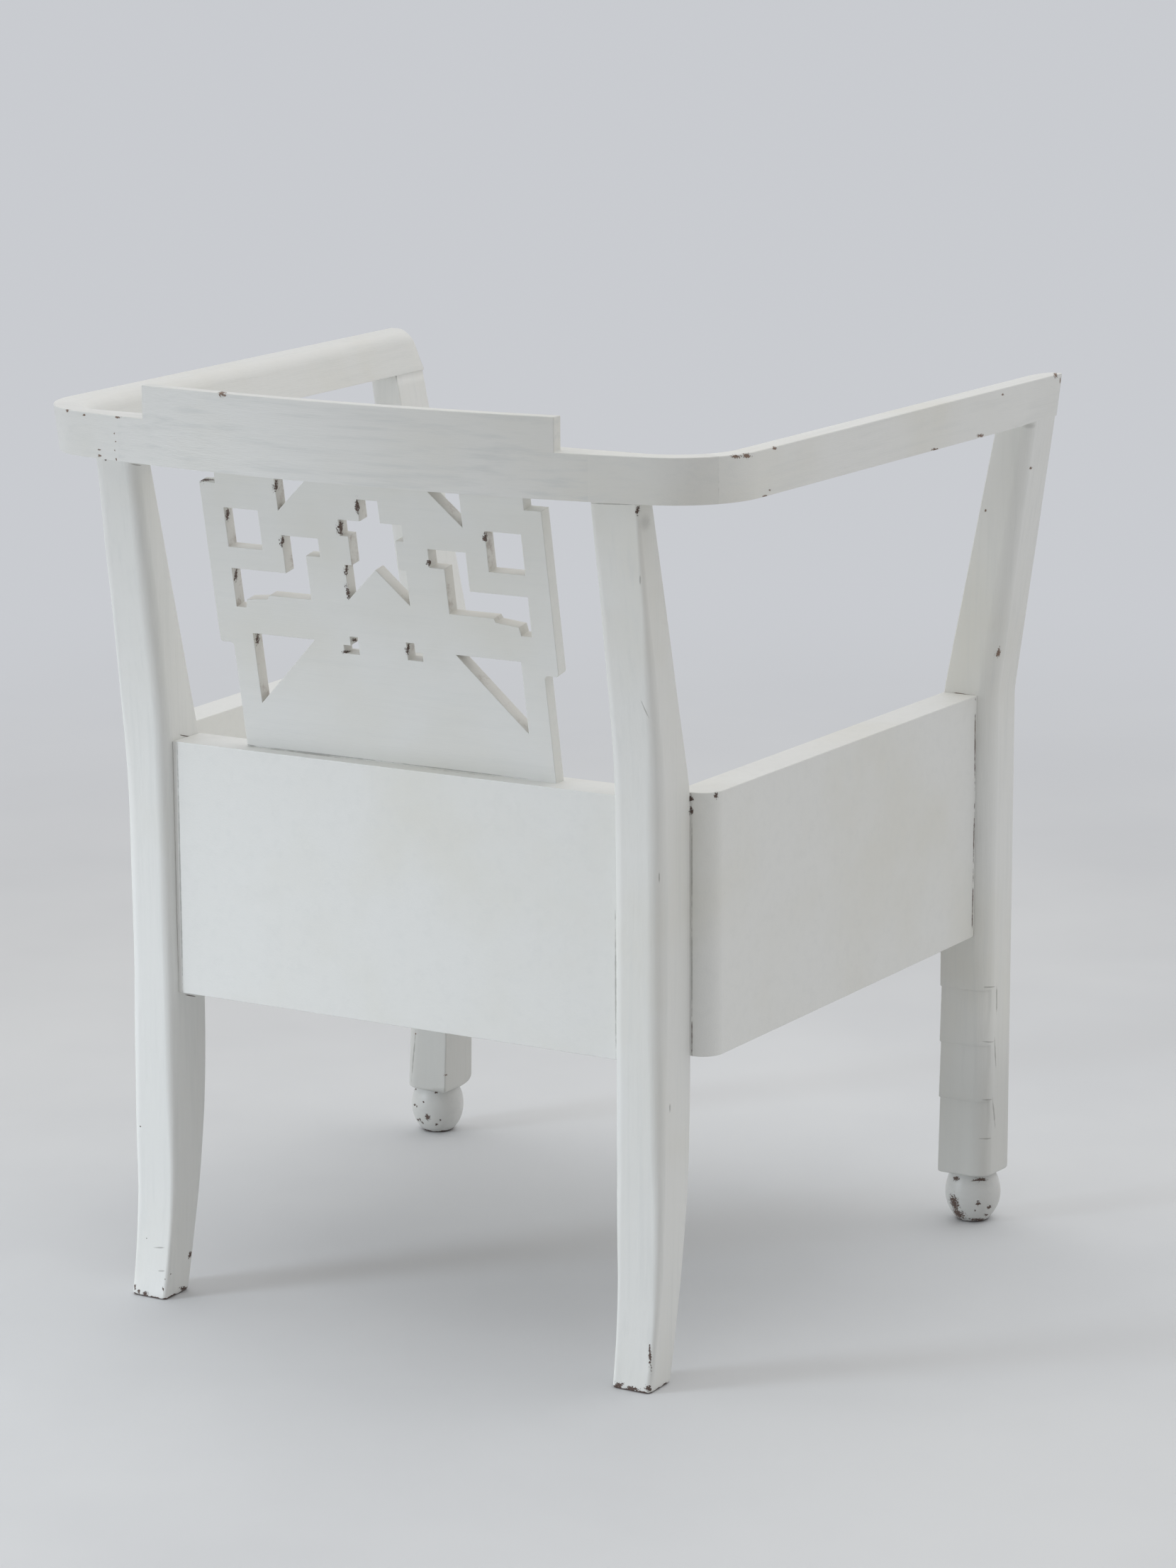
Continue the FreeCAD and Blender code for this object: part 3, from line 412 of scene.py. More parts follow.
def rail_profile(width):
    """The rail's section, as points that far out from its inner face and up from its underside."""
    thick = RAIL_TOP - RAIL_UNDER
    slope = math.atan2(thick - RAIL_HEEL, RAIL_SLANT)
    middle = RAIL_SLANT + RAIL_ROUND * math.tan(slope / 2)
    points = [(0, 0), (0, RAIL_HEEL)]
    for angle in steps(math.radians(90) + slope, math.radians(90), math.radians(8)):
        points.append((middle + RAIL_ROUND * math.cos(angle),
                       thick - RAIL_ROUND + RAIL_ROUND * math.sin(angle)))
    for angle in steps(math.radians(90), 0, math.radians(22.5)):
        points.append((width - RAIL_EASE + RAIL_EASE * math.cos(angle),
                       thick - RAIL_EASE + RAIL_EASE * math.sin(angle)))
    return points + [(width, 0)]


def rail_piece(stations, side, name):
    """A stretch of the rail through stations of (inner point, outer point, undercut, inset).

    The undercut is how far the outer face leans in toward its foot there, and the inset how far the
    inner face leans out toward its top.
    """
    lean = (FRONT_TOP_OUT - FRONT_OUT) / (RAIL_UNDER - APRON_TOP)
    rings = []
    for inner, outer, undercut, inset in stations:
        inner, outer = Vector(inner), Vector(outer)
        width = (outer - inner).length
        out = (outer - inner) / width
        ring = []
        for far, high in rail_profile(width):
            rise = high / (RAIL_TOP - RAIL_UNDER)
            far += inset * rise ** 3 * (1 - far / width) - undercut * (1 - rise) * far / width
            x, y = inner + out * far
            dressed = FRONT_TOP_OUT + lean * high + DRESSED_RUN * between(y, DRESSED_FROM, DRESSED_TO)
            ring.append((min(x, dressed) if y < DRESSED_TO else x, y, RAIL_UNDER + high))
        rings.append([(x * side, y, z) for x, y, z in ring])
    return stand_for(loft(name + "_wood", rings), name)


def about_corner(radius, angle):
    """A point on an arc about the middle of the rail's round corner."""
    return CORNER_X + radius * math.cos(angle), CORNER_Y + radius * math.sin(angle)


def rail_corner(side, name):
    tilt = math.atan2(CORNER_X, CORNER_Y - BOW_Y)
    arc_start, arc_end = math.radians(90) - tilt, math.radians(CORNER_JOINT_ANGLE)
    stations = []
    for share in steps(0, 1, 0.1):
        x_in = CREST_JOINT + (CORNER_X + INNER_RADIUS * math.sin(tilt) - CREST_JOINT) * share
        x_out = CREST_JOINT + (CORNER_X + CORNER_RADIUS * math.sin(tilt) - CREST_JOINT) * share
        past = max(x_in - CORNER_X, 0)
        inner = (x_in, CORNER_Y + math.sqrt(INNER_RADIUS * INNER_RADIUS - past * past))
        outer = (x_out, BOW_Y + math.sqrt(BOW_RADIUS * BOW_RADIUS - x_out * x_out))
        stations.append((inner, outer, 0, 0))
    for angle in steps(arc_start, arc_end, math.radians(2.5))[1:]:
        undercut = UNDERCUT[side] * between(-angle, -arc_start, -arc_end)
        stations.append((about_corner(INNER_RADIUS, angle), about_corner(CORNER_RADIUS, angle), undercut, 0))
    return rail_piece(stations, side, name)


def arm(side, name):
    stations = []
    for angle in steps(math.radians(CORNER_JOINT_ANGLE), math.radians(SPLAY), math.radians(2.5)):
        start_in, start_out = about_corner(INNER_RADIUS, angle), about_corner(CORNER_RADIUS, angle)
        stations.append((start_in, start_out, UNDERCUT[side], 0))
    start_in, start_out = Vector(start_in), Vector(start_out)
    end_in = Vector((OVERALL_WIDTH / 2 - ARM_WIDTH / COS_SPLAY, -OVERALL_DEPTH / 2))
    end_out = Vector((OVERALL_WIDTH / 2, -OVERALL_DEPTH / 2))
    last = END_ROUND / (end_in - start_in).length
    places = [(share, 0) for share in steps(0, 1 - last, 0.02)[1:]]
    for angle in steps(0, math.radians(90), math.radians(10))[1:]:
        places.append((1 - last + last * math.sin(angle), END_INSET * (1 - math.cos(angle))))
    for share, inset in places:
        undercut = UNDERCUT[side] * (1 - between(share, 0, 0.6))
        stations.append((start_in.lerp(end_in, share), start_out.lerp(end_out, share), undercut, inset))
    return rail_piece(stations, side, name)


def on_rail_joint(a, b):
    """The crest rail's glue joints, and its lower edges, which lie on the splat and the legs."""
    lower = all(abs(end.z - RAIL_UNDER) < 0.3 for end in (a, b))
    return lower or all(abs(abs(end.x) - CREST_JOINT) < 0.3 for end in (a, b))


def in_apron(a, b):
    """The splat's foot, in its slot."""
    return max(a.z, b.z) < APRON_TOP + 1


def round_splat(a, b):
    """The edges of the slot that holds the splat, away from the rear legs."""
    return all(abs(end.x) < REAR_IN - 10 and SLOT_FROM < end.y < SLOT_TO for end in (a, b))


# The meshes that stand for the CAD's
pieces = {}
for side, word in ((1, "left"), (-1, "right")):
    pieces["rear_leg_" + word] = rear_leg(side, "rear_leg_" + word)
    pieces["front_leg_" + word] = front_leg(side, "front_leg_" + word)
    pieces["ball_foot_" + word] = ball_foot(side, "ball_foot_" + word)
    pieces["rail_corner_" + word] = rail_corner(side, "rail_corner_" + word)
    pieces["arm_" + word] = arm(side, "arm_" + word)
    pieces["side_apron_" + word] = eased("side_apron_" + word, 0.8)
    for name in ("seat_ledger_", "corner_block_back_", "corner_block_front_"):
        pieces[name + word] = eased(name + word, 0.5)
pieces["crest_rail"] = eased("crest_rail", 0.9, on_rail_joint)
pieces["back_splat"] = eased("back_splat", 0.6, in_apron)
pieces["back_apron"] = eased("back_apron", 0.8, round_splat)
pieces["front_apron"] = eased("front_apron", 0.8)
pieces["seat_board"] = eased("seat_board", 0.8)
for name in ("seat_ledger_back", "seat_ledger_front"):
    pieces[name] = eased(name, 0.5)


def add_camera():
    turn, rise = math.radians(CAMERA_AZIMUTH), math.radians(CAMERA_ELEVATION)
    back = Vector((math.sin(turn) * math.cos(rise), -math.cos(turn) * math.cos(rise), math.sin(rise)))
    data = bpy.data.cameras.new("Camera")
    data.sensor_fit = "VERTICAL"
    data.sensor_height = CAMERA_FILM_HEIGHT
    data.lens = CAMERA_LENS
    camera = bpy.data.objects.new("Camera", data)
    bpy.context.scene.collection.objects.link(camera)
    facing = back.to_track_quat("Z", "Y").to_matrix()
    roll = Matrix.Rotation(math.radians(CAMERA_ROLL), 3, "Z")
    camera.matrix_world = Matrix.Translation(CAMERA_PLACE) @ (facing @ roll).to_4x4()
    bpy.context.scene.camera = camera
    return camera


camera = add_camera()


class Look:
    """A material's nodes, with short words for what the looks here are made of."""

    def __init__(self, name):
        self.material = bpy.data.materials.new(name)
        self.material.use_nodes = True
        self.tree = self.material.node_tree
        self.shader = self.tree.nodes["Principled BSDF"]
        self.place = self.add("ShaderNodeTexCoord").outputs["Object"]

    def add(self, kind, inputs=(), **settings):
        node = self.tree.nodes.new(kind)
        for name, setting in settings.items():
            setattr(node, name, setting)
        for socket, value in dict(inputs).items():
            self.feed(node.inputs[socket], value)
        return node

    def feed(self, socket, value):
        if isinstance(value, bpy.types.NodeSocket):
            self.tree.links.new(value, socket)
        else:
            socket.default_value = value

    def math(self, operation, a, b=0.0):
        return self.add("ShaderNodeMath", {0: a, 1: b}, operation=operation).outputs[0]

    def times(self, a, b):
        return self.math("MULTIPLY", a, b)

    def plus(self, a, b):
        return self.math("ADD", a, b)

    def minus(self, a, b):
        return self.math("SUBTRACT", a, b)

    def larger(self, a, b):
        return self.math("MAXIMUM", a, b)

    def absolute(self, a):
        return self.math("ABSOLUTE", a)

    def dot(self, a, b):
        return self.add("ShaderNodeVectorMath", {0: a, 1: b}, operation="DOT_PRODUCT").outputs["Value"]

    def length(self, a):
        return self.add("ShaderNodeVectorMath", {0: a}, operation="LENGTH").outputs["Value"]

    def place_along(self, axis):
        return self.add("ShaderNodeSeparateXYZ", {0: self.place}).outputs[axis]

    def noise(self, scale, detail=2.0, rough=0.5, stretch=(1, 1, 1), shift=(0, 0, 0)):
        """Noise with about scale grains to a metre, drawn out by stretch."""
        place = self.add("ShaderNodeMapping", {"Vector": self.place, "Location": shift, "Scale": stretch})
        node = self.add("ShaderNodeTexNoise", {"Vector": place.outputs[0], "Scale": scale, "Detail": detail,
                                               "Roughness": rough})
        return node.outputs["Fac"]

    def step(self, value, low, high):
        """0 at low and beyond, 1 at high and beyond, with a soft start and end."""
        node = self.add("ShaderNodeMapRange", {"Value": value, "From Min": low, "From Max": high},
                        interpolation_type="SMOOTHSTEP")
        return node.outputs[0]

    def mix(self, share, a, b, blend="MIX"):
        node = self.add("ShaderNodeMix", data_type="RGBA", blend_type=blend)
        self.feed(node.inputs["Factor"], share)
        self.feed(node.inputs[6], a)
        self.feed(node.inputs[7], b)
        return node.outputs[2]

    def smallest(self, values):
        least = values[0]
        for value in values[1:]:
            least = self.math("MINIMUM", least, value)
        return least

    def inside(self, mark):
        """Distance from the middle of an ellipsoid, 1 at its surface."""
        centre, turn, size = mark
        inputs = {"Vector": self.place, "Location": centre, "Rotation": turn, "Scale": size}
        return self.length(self.add("ShaderNodeMapping", inputs, vector_type="TEXTURE").outputs[0])

    def nearest(self, marks):
        return self.smallest([self.inside(mark) for mark in marks])

    def torn(self, marks, ragged, middle, amount):
        """Distance from the nearest mark, with its rim made ragged by a noise about its middle value."""
        return self.plus(self.nearest(marks), self.times(self.minus(ragged, middle), amount))

    def finish(self, colour, rough, height, strength=1.0):
        self.feed(self.shader.inputs["Base Color"], colour)
        self.feed(self.shader.inputs["Roughness"], rough)
        bump = self.add("ShaderNodeBump", {"Height": height, "Distance": MM, "Strength": strength})
        self.feed(self.shader.inputs["Normal"], bump.outputs[0])
        return self.material


PAINT = (0.80, 0.80, 0.775, 1)
PAINT_AGED = (0.765, 0.755, 0.70, 1)
PAINT_THIN = (0.69, 0.70, 0.68, 1)
PAINT_SHADED = (0.56, 0.555, 0.52, 1)
WOOD = (0.25, 0.175, 0.135, 1)
WOOD_OLD = (0.13, 0.09, 0.075, 1)
WOOD_DARK = (0.05, 0.034, 0.028, 1)
# The dark of dirt, which also paints shade into creases and under the near front leg's tier ledges
DIRT_AND_SHADE = (0.10, 0.085, 0.065, 1)
SAWN_DUST = (0.45, 0.40, 0.33, 1)
SEAT_WOOD = ((0.42, 0.27, 0.15, 1), (0.30, 0.18, 0.09, 1))
SPLINE_WOOD = ((0.55, 0.38, 0.22, 1), (0.42, 0.28, 0.15, 1))
STEEL = (0.38, 0.37, 0.35, 1)
RUST = (0.16, 0.07, 0.035, 1)

# Beyond this distance from the middle the splat's sawn flanks are painted clean, in metres
CLEAN_FROM = 0.134

# How the brush marks are drawn out; "even" is paint laid on in all directions
ALONG = {"X": (0.05, 1, 1), "Y": (1, 0.05, 1), "Z": (1, 1, 0.05), "even": (0.6, 0.6, 0.6)}


def dirty_flanks(look, colour, board_normal):
    """The sawn flanks of a board's openings: dusty all over, and stained on their upright sides."""
    normal = look.add("ShaderNodeNewGeometry").outputs["Normal"]
    facing = look.absolute(look.dot(normal, board_normal))
    off_middle = look.absolute(look.place_along("X"))
    flank = look.times(look.step(facing, 0.8, 0.3), look.step(off_middle, CLEAN_FROM + MM, CLEAN_FROM))
    sideways = look.step(look.absolute(look.dot(normal, (1, 0, 0))), 0.4, 0.8)
    stain = look.times(look.step(look.noise(60, 4, 0.7, shift=(1, 5, 3)), 0.5, 0.7), sideways)
    colour = look.mix(look.times(flank, 0.2), colour, SAWN_DUST)
    return look.mix(look.times(look.times(flank, stain), 0.5), colour, WOOD)


def joint_lines(look, colour, joints, coarse):
    """Broken hairlines over glue joints, which are planes: a normal, and a distance in metres."""
    gaps = [look.absolute(look.minus(look.dot(look.place, normal), far)) for normal, far in joints]
    uneven = look.times(look.minus(coarse, 0.4), 0.002)
    line = look.step(look.plus(look.smallest(gaps), uneven), 0.0003, 0.0001)
    return look.mix(look.times(line, 0.2), colour, DIRT_AND_SHADE)


def bare_share(look, marks, ragged, coarse, specks, height_here, worn):
    """How far the paint is gone: in specks, chips and cracks, and below about the height worn."""
    gone = look.times(look.step(look.noise(260, 5, 0.75, shift=(2, 9, 4)), 0.79, 0.82), specks)
    # A few chip and crack marks also paint the shadow in the gap under the near front leg's foot
    if marks["chip"]:
        gone = look.larger(gone, look.step(look.torn(marks["chip"], ragged, 0.47, 3.8), 1.0, 0.8))
    if marks["crack_and_gap_shade"]:
        crack_and_gap_shade = look.step(look.torn(marks["crack_and_gap_shade"], coarse, 0.45, 2.0), 1.1, 0.6)
        gone = look.larger(gone, look.times(crack_and_gap_shade, 0.9))
    if worn is not None:
        edge = look.plus(height_here, look.times(look.minus(coarse, 0.5), worn * 5))
        gone = look.larger(gone, look.step(edge, worn * 1.2, worn))
    return gone


def painted(name, grain, marks, joints=(), worn=None, specks=0.5, reveal=None, tone=1.0,
            streaks=0.3, shaded_below=None, wood=WOOD):
    """Old brushed paint over wood.

    marks are ellipsoids by kind, joints are planes along which the paint cracks, worn is the height up
    to which the paint is rubbed off, specks how much of it small specks take off, shaded_below the height
    below which the paint is darker, as painted shade low under the seat, reveal the normal of a board
    whose sawn flanks are dirty, tone how much darker the whole piece is painted, partly
    for grime and partly as painted shade, streaks how much its brush marks differ, and wood the colour
    where the paint is gone.
    """
    look = Look(name)
    height_here = look.place_along("Z")
    fine = look.noise(1100, 3, 0.6, ALONG[grain])
    broad = look.noise(190, 3, 0.55, ALONG[grain], (3, 1, 2))
    cloud = look.noise(7, 3, 0.55)
    ragged = look.noise(650, 4, 0.7)
    coarse = look.noise(150, 3, 0.6, shift=(7, 2, 5))

    colour = look.mix(look.step(cloud, 0.4, 0.8), PAINT, PAINT_AGED)
    colour = look.mix(look.times(look.step(broad, 0.45, 0.75), streaks), colour, PAINT_THIN)
    colour = look.mix(look.times(look.step(fine, 0.6, 0.8), 0.2), colour, PAINT_THIN)
    # Painted shade, partly grime: the whole piece darker, for the rail high up and the balls in the shade
    # under the legs
    if tone < 1:
        colour = look.mix(1.0, colour, (tone, tone, tone, 1), "MULTIPLY")
    # Painted shade: below this height the paint is darker, as the shade low under the seat
    if shaded_below is not None:
        low = look.step(height_here, shaded_below, shaded_below / 2)
        colour = look.mix(look.times(low, 0.6), colour, PAINT_SHADED)
    # Painted shade and dirt: darker where other surfaces close in, in creases, corners and under other
    # parts, broken up by noise
    occlusion = look.add("ShaderNodeAmbientOcclusion", {"Distance": 0.012}, samples=8)
    dirt_and_crease_shade = look.times(look.step(occlusion.outputs["AO"], 0.6, 0.2), look.step(coarse, 0.35, 0.7))
    colour = look.mix(look.times(dirt_and_crease_shade, 0.15), colour, DIRT_AND_SHADE)
    if marks["smudge"]:
        soft = look.step(look.plus(look.nearest(marks["smudge"]), ragged), 1.7, 0.7)
        colour = look.mix(look.times(soft, 0.22), colour, DIRT_AND_SHADE)
    if reveal is not None:
        colour = dirty_flanks(look, colour, reveal)
    # Dark lines: dirt along joints, and painted shade under the near front leg's tier ledges
    if marks["trace_and_ledge_shade"]:
        trace_and_ledge_shade = look.step(look.torn(marks["trace_and_ledge_shade"], coarse, 0.5, 1.6), 1.3, 0.5)
        colour = look.mix(look.times(trace_and_ledge_shade, 0.45), colour, DIRT_AND_SHADE)
    if joints:
        colour = joint_lines(look, colour, joints, coarse)

    gone = bare_share(look, marks, ragged, coarse, specks, height_here, worn)
    bare = look.mix(look.step(ragged, 0.5, 0.68), wood, WOOD_DARK)
    colour = look.mix(gone, colour, bare)
    rough = look.plus(look.plus(look.times(broad, 0.16), look.times(gone, 0.4)), 0.34)
    height = look.plus(look.times(fine, 0.16), look.times(broad, 0.14))
    height = look.plus(height, look.times(look.noise(45, 2, 0.5, shift=(4, 4, 1)), 0.3))
    height = look.minus(height, look.times(gone, 0.35))
    return look.finish(colour, rough, height, 0.8)


def bare_wood(name, grain, light, dark):
    look = Look(name)
    rings = look.noise(180, 4, 0.6, ALONG[grain])
    pores = look.noise(1400, 2, 0.6, ALONG[grain], (3, 3, 3))
    stain = look.noise(14, 3, 0.6)
    colour = look.mix(look.step(rings, 0.3, 0.7), light, dark)
    colour = look.mix(look.times(look.step(pores, 0.55, 0.75), 0.5), colour, WOOD_DARK)
    colour = look.mix(look.times(look.step(stain, 0.5, 0.8), 0.35), colour, WOOD_DARK)
    rough = look.plus(look.times(rings, 0.2), 0.6)
    height = look.plus(look.times(rings, 0.15), look.times(pores, -0.1))
    return look.finish(colour, rough, height)


def rusty_steel():
    look = Look("rusty_steel")
    spots = look.noise(900, 4, 0.7)
    colour = look.mix(look.step(spots, 0.45, 0.65), STEEL, RUST)
    rough = look.plus(look.times(spots, 0.5), 0.3)
    look.shader.inputs["Metallic"].default_value = 0.8
    return look.finish(colour, rough, spots)


# Marks on the paint: boxes are left, top, right, bottom in the photograph's pixels, and lines run from
# their first to their last point
BOXES = {
    "chip": [
        (1032, 641, 1046, 647), (1047, 639, 1060, 647), (1089, 630, 1096, 635), (1076, 698, 1084, 702),
        # The two chips at 1344 to 1393 across and 1659 to 1667 down lie in the gap under the near front
        # leg's foot, over its ball: some bare wood there, and painted shadow
        (1084, 690, 1088, 693), (307, 552, 319, 557), (1344, 1659, 1354, 1666), (1374, 1661, 1393, 1667),
        (116, 584, 121, 587), (162, 587, 170, 590), (93, 577, 97, 582), (138, 633, 142, 636),
        (138, 641, 143, 645), (147, 647, 151, 650), (160, 610, 162, 613), (162, 622, 164, 624),
        (161, 634, 163, 637), (163, 646, 165, 650), (1378, 612, 1388, 617), (1314, 632, 1324, 636),
        (1452, 658, 1456, 663), (1413, 555, 1416, 559), (1389, 718, 1392, 722), (1405, 914, 1412, 927),
        (1486, 526, 1492, 530), (897, 713, 903, 726), (1007, 1118, 1013, 1128), (971, 1121, 978, 1131),
        (973, 1138, 978, 1150), (281, 675, 301, 679), (867, 1949, 879, 1958), (880, 1956, 902, 1963),
        (910, 1954, 920, 1963), (915, 1893, 919, 1932), (189, 1811, 192, 1819), (194, 1819, 198, 1825),
        (201, 1821, 209, 1828), (266, 1765, 270, 1775), (254, 1815, 266, 1821), (1340, 1684, 1352, 1710),
        (1344, 1704, 1359, 1721), (1377, 1694, 1384, 1701), (1393, 1699, 1399, 1706),
        (1374, 1706, 1377, 1709), (1388, 1712, 1394, 1716), (1366, 1719, 1391, 1723),
        (599, 1572, 607, 1580), (596, 1553, 599, 1556), (583, 1557, 587, 1560),
        (588, 1578, 592, 1582), (614, 1584, 618, 1588), (620, 1579, 623, 1582), (591, 1577, 594, 1581),
        (197, 1588, 199, 1590), (206, 1746, 208, 1748), (240, 1796, 242, 1798), (232, 1803, 234, 1806),
        (229, 1815, 231, 1822), (585, 1457, 588, 1460), (628, 1515, 631, 1518),
        (318, 716, 324, 734), (387, 677, 392, 693), (397, 754, 401, 771), (500, 703, 508, 725),
        (477, 734, 484, 755), (487, 795, 491, 812), (488, 824, 492, 847), (682, 751, 688, 766),
        (330, 802, 335, 821), (360, 892, 366, 911), (496, 900, 504, 906), (484, 917, 493, 922),
        (574, 907, 578, 923), (604, 789, 608, 798), (585, 1535, 588, 1538), (613, 1540, 618, 1543),
        (587, 1559, 589, 1562), (595, 1582, 597, 1585),
    ],
    "smudge": [
        (902, 724, 919, 750), (1440, 597, 1465, 605), (584, 1536, 647, 1542),
    ],
}
LINES = {
    "crack_and_gap_shade": [
        (976, 1432, 976, 1494), (1376, 985, 1375, 1120), (1375, 1120, 1373, 1230), (1373, 1230, 1371, 1326),
        (250, 1036, 280, 1042), (260, 1403, 277, 1406), (1345, 977, 1371, 981),
        # The crack from 1367 to 1395 across at 1665 down is that same gap under the near front leg's foot:
        # painted shadow over some bare wood
        (1367, 1666, 1395, 1664), (1496, 530, 1495, 543),
    ],
    "trace_and_ledge_shade": [
        (828, 710, 897, 712), (186, 655, 201, 657), (250, 1047, 258, 1400), (868, 1290, 869, 1492),
        (345, 1051, 540, 1074), (540, 1074, 735, 1098), (903, 811, 903, 826), (905, 990, 914, 1011),
        # The traces from 1383 to 1406 across and 1388 to 1607 down follow the near front leg's tier ledges
        # and where they turn down: painted shade under the ledges, with some dirt
        (930, 1230, 930, 1245), (945, 1558, 945, 1568), (586, 1459, 581, 1516), (1390, 1393, 1406, 1392),
        (1388, 1470, 1404, 1470), (1386, 1552, 1403, 1551), (1406, 1388, 1406, 1430),
        (1403, 1466, 1405, 1508), (1400, 1548, 1404, 1590), (1383, 1607, 1403, 1606), (976, 1150, 976, 1300),
        (976, 1300, 976, 1440), (345, 1050, 362, 1053), (219, 1760, 231, 1760), (223, 1793, 232, 1793),
    ],
}
LINE_HALF_WIDTH = 0.9
# In metres: how far a mark reaches in and out of the surface, and how near it another piece is marked too
MARK_DEPTH, MARK_REACH = 0.003, 0.008


def look_through(x, y):
    """The ray from the camera through a pixel of the photograph."""
    half = camera.data.sensor_height / 2 / camera.data.lens
    aim = Vector(((x / PHOTO_WIDTH * 2 - 1) * half * PHOTO_WIDTH / PHOTO_HEIGHT,
                  (1 - y / PHOTO_HEIGHT * 2) * half, -1))
    return camera.matrix_world.translation.copy(), (camera.matrix_world.to_3x3() @ aim).normalized()


def first_hit(skins, x, y):
    """The piece that the camera sees at a pixel, with the spot and the normal there."""
    start, aim = look_through(x, y)
    hits = []
    for name, skin in skins.items():
        spot, normal, _, distance = skin.ray_cast(start, aim)
        if spot is not None:
            hits.append((distance, name, spot, normal))
    return min(hits)[1:] if hits else None


def find_marks():
    """Lays each mark on the pieces that the camera sees there, as an ellipsoid."""
    bpy.context.view_layer.update()
    skins = {name: BVHTree.FromObject(piece, bpy.context.evaluated_depsgraph_get())
             for name, piece in pieces.items()}
    found = {name: {"chip": [], "smudge": [], "crack_and_gap_shade": [], "trace_and_ledge_shade": []} for name in pieces}

    def lay(kind, centre, end, beside):
        """end and beside are pixels on the mark's rim, along it and across it."""
        hit = first_hit(skins, *centre)
        if hit is None:
            return
        name, spot, normal = hit

        def reach(pixel):
            """From the spot to where the ray through a pixel meets the surface's plane."""
            start, way = look_through(*pixel)
            return start + way * ((spot - start).dot(normal) / way.dot(normal)) - spot

        along = reach(end)
        across = normal.cross(along).normalized()
        turn = Matrix((along.normalized(), across, normal)).transposed()
        mark = (spot, turn.to_euler(), (along.length, abs(reach(beside).dot(across)), MARK_DEPTH))
        names = {name}
        for shift in (-3, 3):
            other = first_hit(skins, centre[0] + shift, centre[1] + shift)
            if other is not None and (other[1] - spot).length < MARK_REACH:
                names.add(other[0])
        for near in names:
            found[near][kind].append(mark)

    for kind, boxes in BOXES.items():
        for left, top, right, bottom in boxes:
            centre = ((left + right) / 2, (top + bottom) / 2)
            lay(kind, centre, (right, centre[1]), (centre[0], bottom))
    for kind, lines in LINES.items():
        for x0, y0, x1, y1 in lines:
            centre = ((x0 + x1) / 2, (y0 + y1) / 2)
            share = LINE_HALF_WIDTH / math.hypot(x1 - x0, y1 - y0)
            lay(kind, centre, (x1, y1), (centre[0] + (y0 - y1) * share, centre[1] + (x1 - x0) * share))
    return found


def arm_joint(side):
    """The plane of the glue joint between a rail corner and its arm."""
    angle = math.radians(CORNER_JOINT_ANGLE)
    normal = (-math.sin(angle) * side, math.cos(angle), 0)
    return normal, (CORNER_Y * math.cos(angle) - CORNER_X * math.sin(angle)) * MM


ARM_JOINTS = {side: [arm_joint(side)] for side in (-1, 1)}
APRON_JOINTS = [((1, 0, 0), REAR_IN * MM), ((1, 0, 0), -REAR_IN * MM)]
SPLAT_NORMAL = (0, math.cos(math.radians(SPLAT_LEAN)), -math.sin(math.radians(SPLAT_LEAN)))

# How each painted kind of piece is painted. An option that is a dictionary is read by side.
PAINTED = {
    # The balls are painted darker as shade under the legs, and the rail and splat a little darker, partly
    # for grime and partly as painted shade
    "crest_rail": {"grain": "X", "tone": 0.95, "streaks": 0.7},
    "rail_corner": {"grain": "X", "tone": 0.96, "joints": ARM_JOINTS},
    "arm": {"grain": "Y", "joints": ARM_JOINTS},
    "rear_leg": {"grain": "Z", "worn": 0.0012, "wood": WOOD_OLD},
    # The front legs are painted darker low down, as shade under the seat
    "front_leg": {"grain": "Z", "shaded_below": 0.2},
    "ball_foot": {"grain": "X", "tone": {-1: 0.82, 1: 0.86}, "specks": 1.0, "worn": 0.0015,
                  "wood": WOOD_OLD},
    "back_splat": {"grain": "X", "tone": 0.97, "streaks": 0.16, "reveal": SPLAT_NORMAL, "wood": WOOD_OLD},
    "back_apron": {"grain": "even", "streaks": 0.16, "joints": APRON_JOINTS, "wood": WOOD_OLD},
    "side_apron": {"grain": "even", "streaks": 0.16, "wood": WOOD_OLD},
    "front_apron": {"grain": "even", "streaks": 0.16},
    "seat_board": {"grain": "X"},
}
# The grain of the bare pieces whose grain isn't along X
BARE_GRAIN = {"seat_ledger": "Y", "corner_block_back": "Z", "corner_block_front": "Z"}


def add_looks():
    marks = find_marks()
    for name, piece in pieces.items():
        side = -1 if name.endswith("right") else 1
        kind = name.replace("_left", "").replace("_right", "")
        if kind in PAINTED:
            options = {option: value[side] if isinstance(value, dict) else value
                       for option, value in PAINTED[kind].items()}
            look = painted(name + "_paint", marks=marks[name], **options)
        else:
            look = bare_wood(name + "_look", BARE_GRAIN.get(kind, "X"), *SEAT_WOOD)
        piece.data.materials.append(look)
    for node, look in (("rail_splines", bare_wood("spline_wood", "X", *SPLINE_WOOD)),
                       ("ledger_nails", rusty_steel())):
        NODES[node].data.materials.clear()
        NODES[node].data.materials.append(look)


WALL = (0.585, 0.60, 0.632, 1)
FLOOR, FLOOR_LIGHT = (0.66, 0.67, 0.685, 1), (0.72, 0.73, 0.74, 1)
# The direction from which the room's even light is weakest
DIM_SIDE = Vector((-0.3, 0.9, 0.3)).normalized()


def seen_rays(tree):
    """1 for the rays that show the background: straight, mirrored and through glass."""
    rays = tree.nodes.new("ShaderNodeLightPath")
    total = rays.outputs["Is Camera Ray"]
    for kind in ("Is Glossy Ray", "Is Transmission Ray"):
        either = tree.nodes.new("ShaderNodeMath")
        either.operation = "MAXIMUM"
        tree.links.new(total, either.inputs[0])
        tree.links.new(rays.outputs[kind], either.inputs[1])
        total = either.outputs[0]
    return total


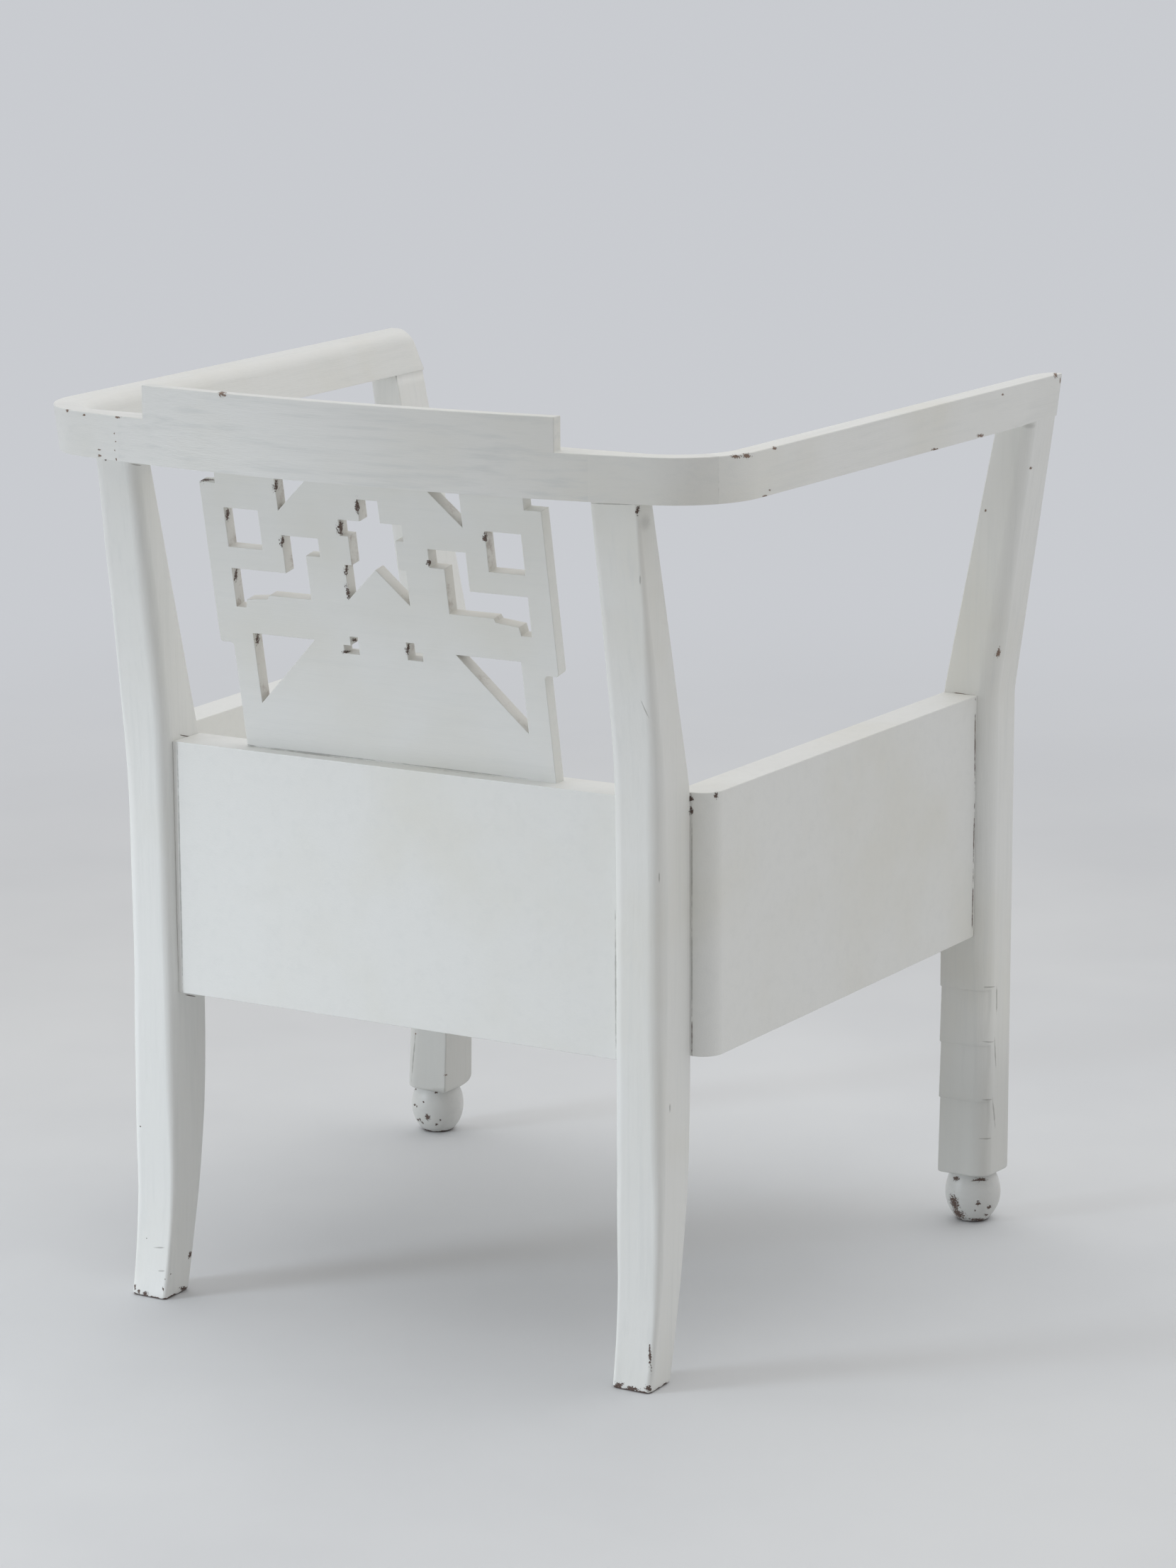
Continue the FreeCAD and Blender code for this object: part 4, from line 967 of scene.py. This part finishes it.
def add_floor():
    """A pale floor that fades into the background away from the chair."""
    bpy.ops.mesh.primitive_plane_add(size=60)
    floor = bpy.context.object
    floor.name = "Floor"
    look = Look("pale_floor")
    cloud = look.noise(1.6, 4, 0.55)
    colour = look.mix(look.step(cloud, 0.3, 0.7), FLOOR, FLOOR_LIGHT)
    look.finish(colour, 0.75, look.noise(60, 3), 0.1)
    far = look.step(look.length(look.place), 0.9, 3.2)
    glow = look.add("ShaderNodeEmission", {"Color": WALL})
    both = look.add("ShaderNodeMixShader", {0: look.times(far, seen_rays(look.tree)),
                                            1: look.shader.outputs[0], 2: glow.outputs[0]})
    look.tree.links.new(both.outputs[0], look.tree.nodes["Material Output"].inputs["Surface"])
    floor.data.materials.append(look.material)


def add_lamp(data, place, aim, power, colour):
    data.energy = power
    data.color = colour
    lamp = bpy.data.objects.new(data.name, data)
    lamp.location = place
    lamp.rotation_euler = (Vector(aim) - Vector(place)).to_track_quat("-Z", "Y").to_euler()
    bpy.context.scene.collection.objects.link(lamp)


def add_world(strength, dimmed):
    """Even light from all round, weaker from behind the chair, before a plain pale background."""
    world = bpy.data.worlds.new("Room")
    bpy.context.scene.world = world
    world.use_nodes = True
    tree = world.node_tree

    def add(kind, *links):
        node = tree.nodes.new(kind)
        for socket, source in enumerate(links):
            tree.links.new(source, node.inputs[socket])
        return node

    toward = add("ShaderNodeVectorMath", tree.nodes.new("ShaderNodeTexCoord").outputs["Generated"])
    toward.operation = "DOT_PRODUCT"
    toward.inputs[1].default_value = DIM_SIDE
    level = add("ShaderNodeMapRange", toward.outputs["Value"])
    level.interpolation_type = "SMOOTHSTEP"
    for name, value in (("From Min", -0.2), ("From Max", 0.9), ("To Min", strength), ("To Max", dimmed)):
        level.inputs[name].default_value = value
    sky = tree.nodes["Background"]
    sky.inputs["Color"].default_value = (1, 1, 1, 1)
    tree.links.new(level.outputs[0], sky.inputs["Strength"])
    wall = add("ShaderNodeBackground")
    wall.inputs["Color"].default_value = WALL
    either = add("ShaderNodeMixShader", seen_rays(tree), sky.outputs[0], wall.outputs[0])
    tree.links.new(either.outputs[0], tree.nodes["World Output"].inputs["Surface"])


def add_lights():
    window = bpy.data.lights.new("WindowLight", "SPOT")
    window.spot_size = math.radians(38)
    window.spot_blend = 1
    window.shadow_soft_size = 0.4
    add_lamp(window, (2.0, 2.2, 0.75), (0.05, 0.3, 0.08), 160, (0.83, 0.915, 1.0))
    ceiling = bpy.data.lights.new("CeilingLight", "AREA")
    ceiling.size = 3
    add_lamp(ceiling, (-0.3, 0.5, 3.0), (0, 0.1, 0.3), 22, (1.0, 0.995, 0.985))


add_looks()
add_floor()
add_world(0.97, 0.27)
add_lights()

bpy.context.scene.view_settings.view_transform = "Standard"
